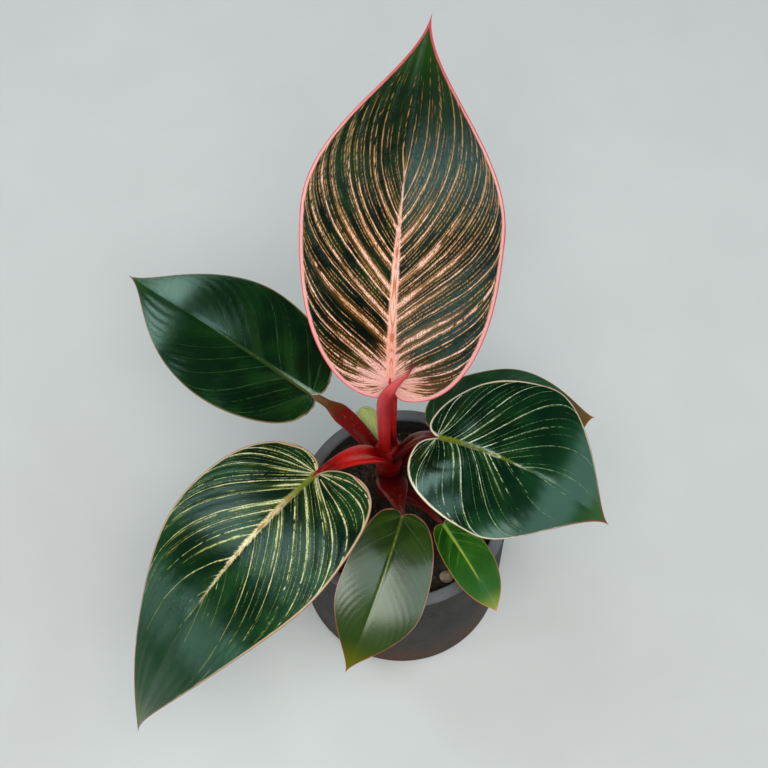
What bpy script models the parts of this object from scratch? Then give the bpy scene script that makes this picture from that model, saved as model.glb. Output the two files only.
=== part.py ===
"""Potted variegated philodendron: a young plant with seven leaves in a plain grey pot.

Metres, +Z up. The origin is the middle of the pot's underside, and -Y is the front.
Angles are in degrees. A heading is counted from +X towards +Y, seen from above.
"""

from dataclasses import dataclass
from math import cos, pi, radians, sin

import bmesh
import bpy
import numpy as np
from mathutils import Vector, noise

# Driving dimensions of the pot
POT_HEIGHT = 0.075
POT_RIM_RADIUS = 0.0395
POT_FOOT_RADIUS = 0.0400
POT_WALL = 0.0045
POT_FLOOR = 0.006
POT_RIM_ROUND = 0.0014
POT_FOOT_ROUND = 0.0030
POT_INNER_ROUND = 0.004
POT_STEPS = 48
DRAIN_RADIUS = 0.0035
DRAIN_CIRCLE = 0.017
DRAIN_HOLES = 4

# Driving dimensions of the soil, the pebble and the stem
GAP = 0.0003
SOIL_LEVEL = 0.068
SOIL_LUMP = 0.0014
SOIL_EDGE_DIP = 0.0012
SOIL_RINGS = 11
STEM_X, STEM_Y = -0.0055, 0.0090
STEM_FOOT_Z = 0.044
STEM_TOP_Z = 0.112
STEM_FOOT_RADIUS = 0.0052
STEM_TOP_RADIUS = 0.0043
STEM_JOINTS = 6
STEM_JOINT_BULGE = 0.0005
PEBBLE_AT = (0.0162, -0.0262)
PEBBLE_HALVES = (0.0027, 0.0023, 0.0018)

# Driving dimensions that all the leaves share
BLADE_THICKNESS = 0.0008
KEEL_DEPTH = 0.0019
VEIN_ANGLE = 44
LOBE_VEIN_ANGLE = 158
FAN_SHARE = 0.35
COLUMNS = (0, 0.08, 0.3, 0.55, 0.8, 1)
RIB_STEPS = 40


@dataclass
class Midline:
    """How a blade's midrib runs: its heading and rise at the petiole, and how they change."""

    heading: float
    sweep: float
    rise: float
    droop: float
    roll: float
    twist: float


@dataclass
class Outline:
    """A blade laid flat: its length, its half widths, and the places that shape its margin."""

    length: float
    left: float
    right: float
    widest: float
    lobe: float
    notch: float
    shoulder: float
    point: float


@dataclass
class Form:
    """How the blade leaves its plane: folded up at the midrib, cupped, and waved."""

    fold: float
    cup: float
    wave: float


@dataclass
class Petiole:
    """A stalk from the stem: its foot, the two points that bend it, and its half widths."""

    foot: float
    bearing: float
    leave: tuple
    arrive: tuple
    sheath: float
    taper: tuple
    stalk: float


@dataclass
class Leaf:
    """One leaf; base is where its blade meets its petiole."""

    name: str
    base: tuple
    midline: Midline
    outline: Outline
    form: Form
    petiole: Petiole
    rows: int


NEWEST = Leaf(
    name="newest_leaf",
    base=(-0.0049, 0.0085, 0.1650),
    midline=Midline(heading=89, sweep=-13, rise=48.5, droop=20.5, roll=15, twist=5),
    outline=Outline(
        length=0.119, left=0.0325, right=0.0365, widest=0.46,
        lobe=0.0058, notch=0.13, shoulder=0.42, point=0.29,
    ),
    form=Form(fold=0.09, cup=-0.05, wave=0.0010),
    petiole=Petiole(
        foot=STEM_TOP_Z + GAP, bearing=89, leave=(-0.0049, 0.0076, 0.130),
        arrive=(-0.0047, 0.0044, 0.152), sheath=0.0024, taper=(0.05, 0.4), stalk=0.0020,
    ),
    rows=22,
)
LEFT_UPPER = Leaf(
    name="left_upper_leaf",
    base=(-0.0325, 0.0241, 0.1220),
    midline=Midline(heading=147.5, sweep=-8, rise=11.5, droop=31, roll=2, twist=2),
    outline=Outline(
        length=0.088, left=0.024, right=0.0245, widest=0.36,
        lobe=0.0030, notch=0.16, shoulder=0.51, point=0.22,
    ),
    form=Form(fold=0.12, cup=0.10, wave=0.0008),
    petiole=Petiole(
        foot=0.0920, bearing=150, leave=(-0.0115, 0.0140, 0.1040),
        arrive=(-0.0235, 0.0215, 0.1180), sheath=0.0034, taper=(0.70, 0.80), stalk=0.0015,
    ),
    rows=18,
)
LEFT_LOWER = Leaf(
    name="left_lower_leaf",
    base=(-0.0296, -0.0124, 0.1380),
    midline=Midline(heading=228, sweep=4, rise=18, droop=95, roll=-18, twist=2),
    outline=Outline(
        length=0.126, left=0.0335, right=0.0335, widest=0.24,
        lobe=0.0062, notch=0.33, shoulder=0.29, point=0.24,
    ),
    form=Form(fold=0.11, cup=0.12, wave=0.0010),
    petiole=Petiole(
        foot=0.1000, bearing=222, leave=(-0.0105, 0.0035, 0.1220),
        arrive=(-0.0195, -0.0040, 0.1345), sheath=0.0032, taper=(0.25, 0.95), stalk=0.0018,
    ),
    rows=22,
)
RIGHT = Leaf(
    name="right_leaf",
    base=(0.0104, -0.0025, 0.1460),
    midline=Midline(heading=332, sweep=-2, rise=34.5, droop=70, roll=3.5, twist=-13),
    outline=Outline(
        length=0.068, left=0.0305, right=0.0275, widest=0.43,
        lobe=0.0060, notch=0.21, shoulder=0.38, point=0.245,
    ),
    form=Form(fold=0.10, cup=0.16, wave=0.0008),
    petiole=Petiole(
        foot=0.0980, bearing=332, leave=(-0.0006, 0.0060, 0.1200),
        arrive=(0.0045, 0.0022, 0.1380), sheath=0.0034, taper=(0.35, 0.95), stalk=0.0021,
    ),
    rows=18,
)
BACK = Leaf(
    name="back_leaf",
    base=(0.0113, 0.0172, 0.1067),
    midline=Midline(heading=8, sweep=4, rise=3, droop=30, roll=-2, twist=-6),
    outline=Outline(
        length=0.063, left=0.0205, right=0.022, widest=0.42,
        lobe=0.0030, notch=0.20, shoulder=0.60, point=0.18,
    ),
    form=Form(fold=0.10, cup=0.11, wave=0.0007),
    petiole=Petiole(
        foot=0.0800, bearing=20, leave=(0.0015, 0.0120, 0.0940),
        arrive=(0.0055, 0.0142, 0.1030), sheath=0.0028, taper=(0.4, 0.8), stalk=0.0015,
    ),
    rows=14,
)
FRONT = Leaf(
    name="front_leaf",
    base=(-0.0006, -0.0142, 0.1018),
    midline=Midline(heading=255.5, sweep=-14, rise=0.5, droop=37, roll=14, twist=4),
    outline=Outline(
        length=0.060, left=0.0175, right=0.0145, widest=0.50,
        lobe=0.0018, notch=0.23, shoulder=0.47, point=0.22,
    ),
    form=Form(fold=0.10, cup=0.08, wave=0.0005),
    petiole=Petiole(
        foot=0.0870, bearing=278, leave=(-0.0046, 0.0010, 0.0985),
        arrive=(-0.0022, -0.0070, 0.1025), sheath=0.0062, taper=(0.66, 0.92), stalk=0.0017,
    ),
    rows=14,
)
SMALL_FRONT = Leaf(
    name="small_front_leaf",
    base=(0.0145, -0.0123, 0.0880),
    midline=Midline(heading=302, sweep=-4, rise=5, droop=16, roll=1, twist=0),
    outline=Outline(
        length=0.0375, left=0.0092, right=0.0078, widest=0.44,
        lobe=0.0008, notch=0.30, shoulder=0.72, point=0.08,
    ),
    form=Form(fold=0.10, cup=0.09, wave=0.0003),
    petiole=Petiole(
        foot=0.0735, bearing=318, leave=(0.0015, 0.0020, 0.0830),
        arrive=(0.0080, -0.0055, 0.0885), sheath=0.0028, taper=(0.3, 0.8), stalk=0.0011,
    ),
    rows=11,
)
LEAVES = (NEWEST, LEFT_UPPER, LEFT_LOWER, RIGHT, BACK, FRONT, SMALL_FRONT)

# Driving dimensions of the red sheath beside the newest petiole, and of the pale bract
SHEATH_RADIUS = 0.0023
SHEATH_THICKNESS = 0.0007
SHEATH_FRONT = (232, 268)
SHEATH_WRAP = 180
SHEATH_CURL = 0.60
SHEATH_ROUTE = (
    (-0.0068, 0.0076, 0.1120),
    (-0.0072, 0.0056, 0.1320),
    (-0.0072, 0.0044, 0.1500),
    (-0.0067, 0.0034, 0.1615),
    (-0.0052, 0.0036, 0.1690),
    (-0.0026, 0.0048, 0.1735),
    (0.0002, 0.0059, 0.1768),
    (0.0024, 0.0078, 0.1805),
)
BRACT_BASE = (-0.0072, 0.0125, 0.0850)
BRACT_LENGTH = 0.0245
BRACT_HALF_WIDTH = 0.0044
BRACT_HEADING = 118
BRACT_RISE = 56
BRACT_DROOP = 11


def new_collection(name):
    collection = bpy.data.collections.new(name)
    bpy.context.scene.collection.children.link(collection)
    return collection


def material(name, colour, roughness):
    """A plain Principled surface; the colour is linear."""
    surface = bpy.data.materials.new(name)
    surface.use_nodes = True
    shader = surface.node_tree.nodes["Principled BSDF"]
    shader.inputs["Base Color"].default_value = (*colour, 1)
    shader.inputs["Roughness"].default_value = roughness
    shader.inputs["Metallic"].default_value = 0
    return surface


def add_object(name, bm, surface):
    """Turns a bmesh into a smooth-shaded object of the plant's collection."""
    mesh = bpy.data.meshes.new(name)
    bm.to_mesh(mesh)
    bm.free()
    mesh.shade_smooth()
    mesh.set_sharp_from_angle(angle=radians(40))
    mesh.materials.append(surface)
    obj = bpy.data.objects.new(name, mesh)
    PARTS.objects.link(obj)
    return obj


def as_cutter(obj):
    """Moves an object to the cutters, which don't show."""
    PARTS.objects.unlink(obj)
    CUTTERS.objects.link(obj)
    obj.hide_render = True
    obj.display_type = "WIRE"
    return obj


def cut(obj, cutter):
    boolean = obj.modifiers.new("cut", "BOOLEAN")
    boolean.operation = "DIFFERENCE"
    boolean.object = cutter


def thicken(obj, thickness, offset):
    solidify = obj.modifiers.new("thickness", "SOLIDIFY")
    solidify.thickness = thickness
    solidify.offset = offset
    return solidify


def turned(name, profile, steps, surface, at=(0, 0, 0)):
    """A solid of revolution about Z; the profile runs down its outer side."""
    mesh = bpy.data.meshes.new(name)
    edges = [(i, i + 1) for i in range(len(profile) - 1)]
    mesh.from_pydata([(r, 0, z) for r, z in profile], edges, [])
    mesh.materials.append(surface)
    obj = bpy.data.objects.new(name, mesh)
    PARTS.objects.link(obj)
    obj.location = at
    screw = obj.modifiers.new("turn", "SCREW")
    screw.steps = screw.render_steps = steps
    screw.use_merge_vertices = True
    screw.merge_threshold = 0.00001
    screw.use_smooth_shade = True
    return obj


def arc(centre, radius, start, end, count=3):
    """Points of a round edge in a profile, angles from the outward direction."""
    angles = [radians(start + (end - start) * i / count) for i in range(count + 1)]
    return [(centre[0] + radius * cos(a), centre[1] + radius * sin(a)) for a in angles]


def sheet(columns, rows, place):
    """A grid moved by a rule: place(u, v) gives a point for u and v from 0 to 1."""
    bm = bmesh.new()
    bmesh.ops.create_grid(bm, x_segments=columns, y_segments=rows, size=0.5)
    for vert in bm.verts:
        vert.co = place(vert.co.x + 0.5, vert.co.y + 0.5)
    bmesh.ops.remove_doubles(bm, verts=bm.verts, dist=0.00002)
    return bm


def closed_tube(columns, rows, place):
    """A sheet whose sides meet in a tube, with both ends filled."""
    bm = sheet(columns, rows, place)
    ends = [edge for edge in bm.edges if edge.is_boundary]
    bmesh.ops.holes_fill(bm, edges=ends, sides=0)
    bmesh.ops.recalc_face_normals(bm, faces=bm.faces)
    bmesh.ops.triangulate(bm, faces=bm.faces)
    return bm


def cubic(a, b, c, d, t):
    """The point at t on a cubic curve with these four control points."""
    s = 1 - t
    return s**3 * a + 3 * s * s * t * b + 3 * s * t * t * c + t**3 * d


def blend(low, high, x):
    """Runs smoothly from 0 at low to 1 at high."""
    t = min(max((x - low) / (high - low), 0), 1)
    return t * t * (3 - 2 * t)


def unit(vector):
    return vector / np.linalg.norm(vector)


def direction(heading, rise):
    h, p = radians(heading), radians(rise)
    return np.array((cos(p) * cos(h), cos(p) * sin(h), sin(p)))


class Midrib:
    """The midrib's line in space, with the blade's across and up directions along it."""

    def __init__(self, leaf):
        line = leaf.midline
        self.length = leaf.outline.length
        self.shares = np.linspace(0, 1, RIB_STEPS + 1)
        self.points, self.across, self.up, self.along = [np.array(leaf.base)], [], [], []
        for share in self.shares:
            heading = line.heading + line.sweep * share
            along = direction(heading, line.rise - line.droop * share)
            side = direction(heading - 90, 0)
            top = np.cross(side, along)
            roll = radians(line.roll + line.twist * share)
            self.along.append(along)
            self.across.append(side * cos(roll) + top * sin(roll))
            self.up.append(top * cos(roll) - side * sin(roll))
        step = self.length / RIB_STEPS
        for before, after in zip(self.along, self.along[1:]):
            self.points.append(self.points[-1] + (before + after) / 2 * step)

    def read(self, values, share):
        return np.array([np.interp(share, self.shares, column) for column in np.array(values).T])

    def place(self, x, y, lift):
        """The point x across and y along the blade, lifted from its plane."""
        share = min(max(y / self.length, 0), 1)
        start = self.read(self.points, share) + self.along[0] * min(y, 0)
        return start + self.read(self.across, share) * x + self.read(self.up, share) * lift


class HalfBlade:
    """One half of a blade in its own plane, laid out along its veins."""

    def __init__(self, outline, half_width):
        self.outline, self.half_width = outline, half_width
        widest = outline.widest * outline.length
        upper = outline.length - widest
        sinus, tip = np.array((0, 0)), np.array((0, outline.length))
        lobe = np.array((outline.notch * half_width, -outline.lobe))
        side = np.array((half_width, widest))
        lobe_rise = 0.55 * (widest + outline.lobe)
        lobe_reach = 0.6 * (half_width - lobe[0])
        tip_handle = np.array((0.03 * half_width, -outline.point * upper))
        curves = (
            (sinus, (0.10 * half_width, -0.7 * outline.lobe), lobe - (0.45 * lobe[0], 0), lobe),
            (lobe, lobe + (lobe_reach, 0), side - (0, lobe_rise), side),
            (side, side + (0, outline.shoulder * upper), tip + tip_handle, tip),
        )
        count = 24
        shares = np.linspace(0, 1, count + 1)[:, None]
        lines = [cubic(*np.array(curve, dtype=object), shares) for curve in curves]
        self.line = np.vstack([lines[0], lines[1][1:], lines[2][1:]]).astype(float)
        travelled = np.concatenate(([0], np.cumsum(np.hypot(*np.diff(self.line, axis=0).T))))
        self.shares = travelled / travelled[-1]
        self.lobe_share = self.shares[count]

    def margin(self, share):
        return np.array([np.interp(share, self.shares, column) for column in self.line.T])

    def vein(self, v, r):
        """The point r of the way out on the vein that meets the margin at v, lobe 0 to tip 1."""
        share = self.lobe_share + (1 - self.lobe_share) * v
        end = self.margin(share)
        heading = unit(self.margin(min(share + 0.004, 1)) - self.margin(share - 0.004))
        met = end[1] / self.outline.length
        start = np.array((0.0, 0.0))
        angle = VEIN_ANGLE
        if met > FAN_SHARE:
            start[1] = self.outline.length * (1 - ((1 - met) / (1 - FAN_SHARE)) ** (1 / 3))
        else:
            back = (FAN_SHARE - met) / (FAN_SHARE + self.outline.lobe / self.outline.length)
            angle = VEIN_ANGLE + (LOBE_VEIN_ANGLE - VEIN_ANGLE) * back**1.6
        handle = np.hypot(*(end - start)) * 0.36
        leave = start + np.array((sin(radians(angle)), cos(radians(angle)))) * handle
        return cubic(start, leave, end - heading * handle, end, r)


class Blade:
    """A leaf's upper face in space."""

    def __init__(self, leaf):
        self.form, self.rib = leaf.form, Midrib(leaf)
        self.left = HalfBlade(leaf.outline, leaf.outline.left)
        self.right = HalfBlade(leaf.outline, leaf.outline.right)

    def point(self, spread, v):
        """Spread runs from -1 at the left margin to 1 at the right, v from the lobe to the tip."""
        half = self.right if spread > 0 else self.left
        x, y = half.vein(v, abs(spread))
        out = x / half.half_width
        lift = self.form.fold * x - self.form.cup * out * out * half.half_width
        phase = 2.2 * v + (0.3 if spread > 0 else 0)
        lift += self.form.wave * spread * spread * sin(2 * pi * phase) * (1 - v)
        return self.rib.place(x if spread > 0 else -x, y, lift)


def make_blade(leaf, surface, petiole_clearance):
    """A thin blade with a keel under its midrib, thickest at the petiole."""
    blade = Blade(leaf)
    side_columns = len(COLUMNS) - 1
    thin = BLADE_THICKNESS / KEEL_DEPTH
    bm = bmesh.new()
    bmesh.ops.create_grid(bm, x_segments=2 * side_columns, y_segments=leaf.rows, size=0.5)
    weights = bm.verts.layers.deform.verify()
    for vert in bm.verts:
        column, v = round(vert.co.x * 2 * side_columns), vert.co.y + 0.5
        vert[weights][0] = thin + (1 - thin) * (1 - v) if column == 0 else thin
        spread = COLUMNS[abs(column)]
        vert.co = blade.point(spread if column > 0 else -spread, v)
    bmesh.ops.remove_doubles(bm, verts=bm.verts, dist=0.00002)
    bmesh.ops.triangulate(bm, faces=bm.faces, quad_method="SHORT_EDGE")
    obj = add_object(leaf.name + "_blade", bm, surface)
    obj.vertex_groups.new(name="keel")
    thicken(obj, KEEL_DEPTH, -1).vertex_group = "keel"
    cut(obj, petiole_clearance)


def petiole_mesh(leaf, extra):
    """A petiole from the stem to the blade, with a broad channelled sheath at its foot."""
    petiole, rib = leaf.petiole, Midrib(leaf)
    end = np.array(leaf.base) - rib.along[0] * (GAP - extra) - rib.up[0] * KEEL_DEPTH * 0.55
    if petiole.foot > STEM_TOP_Z:
        foot = np.array((petiole.leave[0], STEM_Y, petiole.foot))
    else:
        foot = np.array((STEM_X, STEM_Y, petiole.foot)) + direction(petiole.bearing, 0) * 0.0012
    controls = (foot, np.array(petiole.leave), np.array(petiole.arrive), end)

    def place(u, v):
        point = cubic(*controls, v)
        along = unit(cubic(*controls, min(v + 0.01, 1)) - cubic(*controls, max(v - 0.01, 0)))
        bearing = petiole.bearing + (leaf.midline.heading - petiole.bearing) * v
        side = direction(bearing - 90, 0)
        across = unit(side - along * side.dot(along))
        up = np.cross(across, along)
        narrowing = blend(*petiole.taper, v)
        end_share = blend(0.8, 1, v)
        boat = petiole.sheath * (0.8 + 0.2 * blend(0, petiole.taper[0], v))
        half_width = (boat + (petiole.stalk - boat) * narrowing) * (1 - 0.15 * end_share) + extra
        half_height = petiole.stalk * (1 - 0.45 * end_share) + extra
        angle = 2 * pi * u
        height = half_height * sin(angle)
        if height > 0:
            height *= 1 - (1.3 - narrowing) * (1 - abs(cos(angle)))
        return point + across * half_width * cos(angle) + up * height

    return closed_tube(12, 12, place)


def make_petiole(leaf, surface, stem_seat):
    """The petiole, seated on the stem, and the larger copy of it that clears the blade."""
    petiole = add_object(leaf.name + "_petiole", petiole_mesh(leaf, 0), surface)
    if leaf.petiole.foot < STEM_TOP_Z:
        cut(petiole, stem_seat)
    return as_cutter(add_object(leaf.name + "_clearance", petiole_mesh(leaf, GAP), surface))


def make_pot(surface):
    """A straight-sided pot turned about Z, with drain holes round the middle of its floor."""
    inner = POT_RIM_RADIUS - POT_WALL
    rim, foot = POT_RIM_ROUND, POT_FOOT_ROUND
    profile = [(0, POT_FLOOR), (inner - POT_INNER_ROUND, POT_FLOOR), (inner, POT_FLOOR + POT_INNER_ROUND)]
    profile += arc((inner + rim, POT_HEIGHT - rim), rim, 180, 90)
    profile += arc((POT_RIM_RADIUS - rim, POT_HEIGHT - rim), rim, 90, 0)
    profile += arc((POT_FOOT_RADIUS - foot, foot), foot, 0, -90)
    profile += [(0, 0)]
    pot = turned("pot", profile, POT_STEPS, surface)
    for index in range(DRAIN_HOLES):
        angle = 2 * pi * (index + 0.5) / DRAIN_HOLES
        bm = bmesh.new()
        bmesh.ops.create_cone(
            bm,
            cap_ends=True,
            segments=16,
            radius1=DRAIN_RADIUS,
            radius2=DRAIN_RADIUS,
            depth=4 * POT_FLOOR,
        )
        hole = add_object(f"drain_hole_{index + 1}", bm, surface)
        hole.location = (DRAIN_CIRCLE * cos(angle), DRAIN_CIRCLE * sin(angle), 0)
        cut(pot, as_cutter(hole))


def soil_height(x, y):
    """The top of the soil: lumpy, lower at the wall, and flat where the pebble lies."""
    far = np.hypot(x, y) / (POT_RIM_RADIUS - POT_WALL)
    lump = noise.noise(Vector((x, y, 0.0)) * 130) + 0.7 * noise.noise(Vector((x, y, 0.02)) * 340)
    from_pebble = np.hypot(x - PEBBLE_AT[0], y - PEBBLE_AT[1])
    return SOIL_LEVEL - SOIL_EDGE_DIP * far**6 + SOIL_LUMP * lump * blend(0.003, 0.007, from_pebble)


def make_soil(surface, stem_hole):
    """Potting soil that fills the pot, with a plain hole for the stem."""
    wide = POT_RIM_RADIUS - POT_WALL - GAP
    low = POT_FLOOR + GAP
    profile = [(wide * i / SOIL_RINGS, SOIL_LEVEL) for i in range(SOIL_RINGS + 1)]
    profile += [(wide, low + POT_INNER_ROUND), (wide - POT_INNER_ROUND, low), (0, low)]
    soil = turned("potting_soil", profile, POT_STEPS, surface)
    mesh = bpy.data.meshes.new_from_object(soil.evaluated_get(bpy.context.evaluated_depsgraph_get()))
    soil.modifiers.clear()
    soil.data = mesh
    for vert in mesh.vertices:
        if vert.co.z > SOIL_LEVEL - GAP:
            vert.co.z = soil_height(vert.co.x, vert.co.y)
    cut(soil, stem_hole)


def make_pebble(surface):
    """A small beige pebble that lies on the soil."""
    bm = bmesh.new()
    bmesh.ops.create_icosphere(bm, subdivisions=2, radius=1)
    for vert in bm.verts:
        uneven = 1 + 0.10 * noise.noise(vert.co * 1.3)
        vert.co = Vector([half * uneven * value for half, value in zip(PEBBLE_HALVES, vert.co)])
    lowest = min(vert.co.z for vert in bm.verts)
    pebble = add_object("pebble", bm, surface)
    pebble.location = (*PEBBLE_AT, soil_height(*PEBBLE_AT) + GAP - lowest)


def stem_profile(extra):
    """The stem's side from its top down, with a low ring at each old leaf joint."""
    count = STEM_JOINTS * 3
    side = []
    for i in range(count + 1):
        share = i / count
        radius = STEM_TOP_RADIUS + (STEM_FOOT_RADIUS - STEM_TOP_RADIUS) * share
        ring = STEM_JOINT_BULGE if i % 3 == 1 else 0
        height = STEM_TOP_Z + (STEM_FOOT_Z - STEM_TOP_Z) * share
        side.append((radius + ring + extra, height + extra * (1 - 2 * share)))
    return [(0, side[0][1]), *side, (0, side[-1][1])]


def make_stem(surface):
    """The short upright stem, the larger copy that seats the petioles, and the soil's hole."""
    at = (STEM_X, STEM_Y, 0)
    turned("stem", stem_profile(0), 24, surface, at)
    seat = turned("stem_seat", stem_profile(GAP), 24, surface, at)
    radius = STEM_FOOT_RADIUS + STEM_JOINT_BULGE + GAP
    top, low = POT_HEIGHT, STEM_FOOT_Z - GAP
    plain = [(0, top), (radius, top), (radius, low), (0, low)]
    hole = turned("stem_hole", plain, 24, surface, at)
    return as_cutter(seat), as_cutter(hole)


def on_route(route, share):
    """A point on a smooth curve through the route's points."""
    points = [np.array(point) for point in route]
    ends = [2 * points[0] - points[1], *points, 2 * points[-1] - points[-2]]
    place = min(share, 0.9999) * (len(points) - 1)
    k = int(place)
    a, b, c, d = ends[k : k + 4]
    return cubic(b, b + (c - a) / 6, c - (d - b) / 6, c, place - k)


def make_sheath(surface, stem_seat):
    """The red sheath that held the newest leaf: a half tube that ends in a curled point."""

    def place(u, v):
        point = on_route(SHEATH_ROUTE, v)
        along = unit(on_route(SHEATH_ROUTE, min(v + 0.01, 1)) - on_route(SHEATH_ROUTE, max(v - 0.01, 0)))
        low, high = SHEATH_FRONT
        facing = direction(low + (high - low) * blend(0.1, 0.4, v), 0)
        front = unit(facing - along * facing.dot(along))
        side = np.cross(along, front)
        narrow = 1 - 0.96 * blend(SHEATH_CURL - 0.25, 1.02, v)
        angle = radians(SHEATH_WRAP) * (u - 0.5)
        wrapped = side * sin(angle) + front * (cos(angle) - 0.3) * 0.9
        return point + wrapped * SHEATH_RADIUS * narrow

    bm = sheet(8, 18, place)
    bmesh.ops.triangulate(bm, faces=bm.faces, quad_method="SHORT_EDGE")
    sheath = add_object("newest_leaf_sheath", bm, surface)
    thicken(sheath, SHEATH_THICKNESS, 0)
    cut(sheath, stem_seat)


def make_bract(surface, stem_seat):
    """A pale blunt bract behind the crown, boat-shaped, that grows from the stem."""

    def place(u, v):
        along = direction(BRACT_HEADING, BRACT_RISE - BRACT_DROOP * v)
        side = direction(BRACT_HEADING - 90, 0)
        up = np.cross(side, along)
        wide = BRACT_HALF_WIDTH * max(0.02, (0.28 + v) * (1 - v**8) ** 0.5)
        hollow = (2 * u - 1) ** 2 * wide * 0.45
        return np.array(BRACT_BASE) + along * BRACT_LENGTH * v + side * (2 * u - 1) * wide + up * hollow

    bm = sheet(6, 10, place)
    bmesh.ops.triangulate(bm, faces=bm.faces, quad_method="SHORT_EDGE")
    bract = add_object("pale_bract", bm, surface)
    thicken(bract, BLADE_THICKNESS, 0)
    cut(bract, stem_seat)


for old in list(bpy.data.objects):
    bpy.data.objects.remove(old)
PARTS = new_collection("potted_philodendron")
CUTTERS = new_collection("cutters")

GREY_POT = material("grey_pot", (0.062, 0.064, 0.068), 0.75)
DARK_SOIL = material("dark_soil", (0.010, 0.008, 0.007), 0.95)
BEIGE_STONE = material("beige_stone", (0.24, 0.18, 0.12), 0.7)
RED_STEM = material("red_stem", (0.22, 0.010, 0.012), 0.4)
RED_SHEATH = material("red_sheath", (0.55, 0.035, 0.045), 0.4)
PALE_GREEN = material("pale_green", (0.45, 0.52, 0.20), 0.45)
STRIPED_GREEN = material("striped_green", (0.020, 0.060, 0.022), 0.3)
PLAIN_GREEN = material("plain_green", (0.030, 0.085, 0.035), 0.3)
LIGHT_GREEN = material("light_green", (0.10, 0.26, 0.03), 0.35)
STRIPED_LEAVES = (NEWEST, LEFT_LOWER, RIGHT)

make_pot(GREY_POT)
SEAT, HOLE = make_stem(RED_STEM)
make_soil(DARK_SOIL, HOLE)
make_pebble(BEIGE_STONE)
for each in LEAVES:
    GREEN = STRIPED_GREEN if each in STRIPED_LEAVES else PLAIN_GREEN
    if each is SMALL_FRONT:
        GREEN = LIGHT_GREEN
    make_blade(each, GREEN, make_petiole(each, RED_STEM, SEAT))
make_sheath(RED_SHEATH, SEAT)
make_bract(PALE_GREEN, SEAT)
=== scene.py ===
"""The looks of a potted variegated philodendron, a young plant in a plain grey pot.

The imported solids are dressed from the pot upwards: pot, soil, pebble, stem, leaves, sheath and
bract, then the floor and the lights. Metres, +Z up; the pot stands on the origin, front to -Y.
"""

from dataclasses import dataclass
from math import cos, pi, radians, sin

import bmesh
import bpy
import numpy as np
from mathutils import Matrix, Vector, noise


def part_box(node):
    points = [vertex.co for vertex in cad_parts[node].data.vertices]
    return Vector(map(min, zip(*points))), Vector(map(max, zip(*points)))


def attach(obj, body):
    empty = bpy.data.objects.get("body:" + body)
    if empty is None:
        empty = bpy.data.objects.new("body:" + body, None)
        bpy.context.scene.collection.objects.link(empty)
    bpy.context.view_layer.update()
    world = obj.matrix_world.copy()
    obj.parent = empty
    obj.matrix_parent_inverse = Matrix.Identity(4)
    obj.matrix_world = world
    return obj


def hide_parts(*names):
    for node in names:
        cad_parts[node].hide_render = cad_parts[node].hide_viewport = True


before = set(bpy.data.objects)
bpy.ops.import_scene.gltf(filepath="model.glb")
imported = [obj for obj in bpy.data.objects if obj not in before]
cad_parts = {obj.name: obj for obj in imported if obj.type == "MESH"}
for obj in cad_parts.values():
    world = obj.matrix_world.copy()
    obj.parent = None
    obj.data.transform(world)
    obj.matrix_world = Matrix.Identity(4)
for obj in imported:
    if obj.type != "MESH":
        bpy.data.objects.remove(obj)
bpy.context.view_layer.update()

# Camera
# It looks steeply down on the plant from the front, as a person holding the pot's edge would.
# Its place and its lens were fitted to the pot's rim and foot.

CAMERA_AT = (-0.0071, -0.2124, 0.6380)
CAMERA_DOWN = 65
CAMERA_LENS = 50
CAMERA_SENSOR = 24

lens = bpy.data.cameras.new("camera")
lens.lens = CAMERA_LENS
lens.sensor_width = CAMERA_SENSOR
camera = bpy.data.objects.new("camera", lens)
camera.location = CAMERA_AT
camera.rotation_euler = (radians(90 - CAMERA_DOWN), 0, 0)
bpy.context.scene.collection.objects.link(camera)
bpy.context.scene.camera = camera

# Pot
# A straight-sided pot of unglazed grey cement, cast in a mould, with drain holes in its floor.
# It is matt and finely pitted, browner near the foot, and lighter along the rim: wear and a painted
# highlight.

POT_WALL = 0.0045
POT_FLOOR = 0.006
POT_RIM_ROUND = 0.0014
POT_FOOT_ROUND = 0.0030
POT_INNER_ROUND = 0.004
POT_FOOT_SPREAD = 0.0005
POT_SIDES = 144
POT_SHARP_EDGE = 50
DRAIN_RADIUS = 0.0035
DRAIN_CIRCLE = 0.017
DRAIN_HOLES = 4
WELD = 0.000002
POT_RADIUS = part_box("pot")[1].x - POT_FOOT_SPREAD
POT_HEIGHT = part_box("pot")[1].z


class Signal:
    """A shader socket that can stand in a sum; each operator adds its Math node."""

    def __init__(self, finish, socket):
        self.finish = finish
        self.socket = socket

    def math(self, operation, *others):
        return self.finish.node("ShaderNodeMath", {"operation": operation}, [self, *others])

    def __add__(self, other):
        return self.math("ADD", other)

    def __mul__(self, other):
        return self.math("MULTIPLY", other)

    def __sub__(self, other):
        return self.math("SUBTRACT", other)

    def __rsub__(self, other):
        return self.finish.node("ShaderNodeMath", {"operation": "SUBTRACT"}, [other, self])

    def __truediv__(self, other):
        return self.math("DIVIDE", other)

    def __rtruediv__(self, other):
        return self.finish.node("ShaderNodeMath", {"operation": "DIVIDE"}, [other, self])

    def __abs__(self):
        return self.math("ABSOLUTE")

    __radd__ = __add__
    __rmul__ = __mul__


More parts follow.
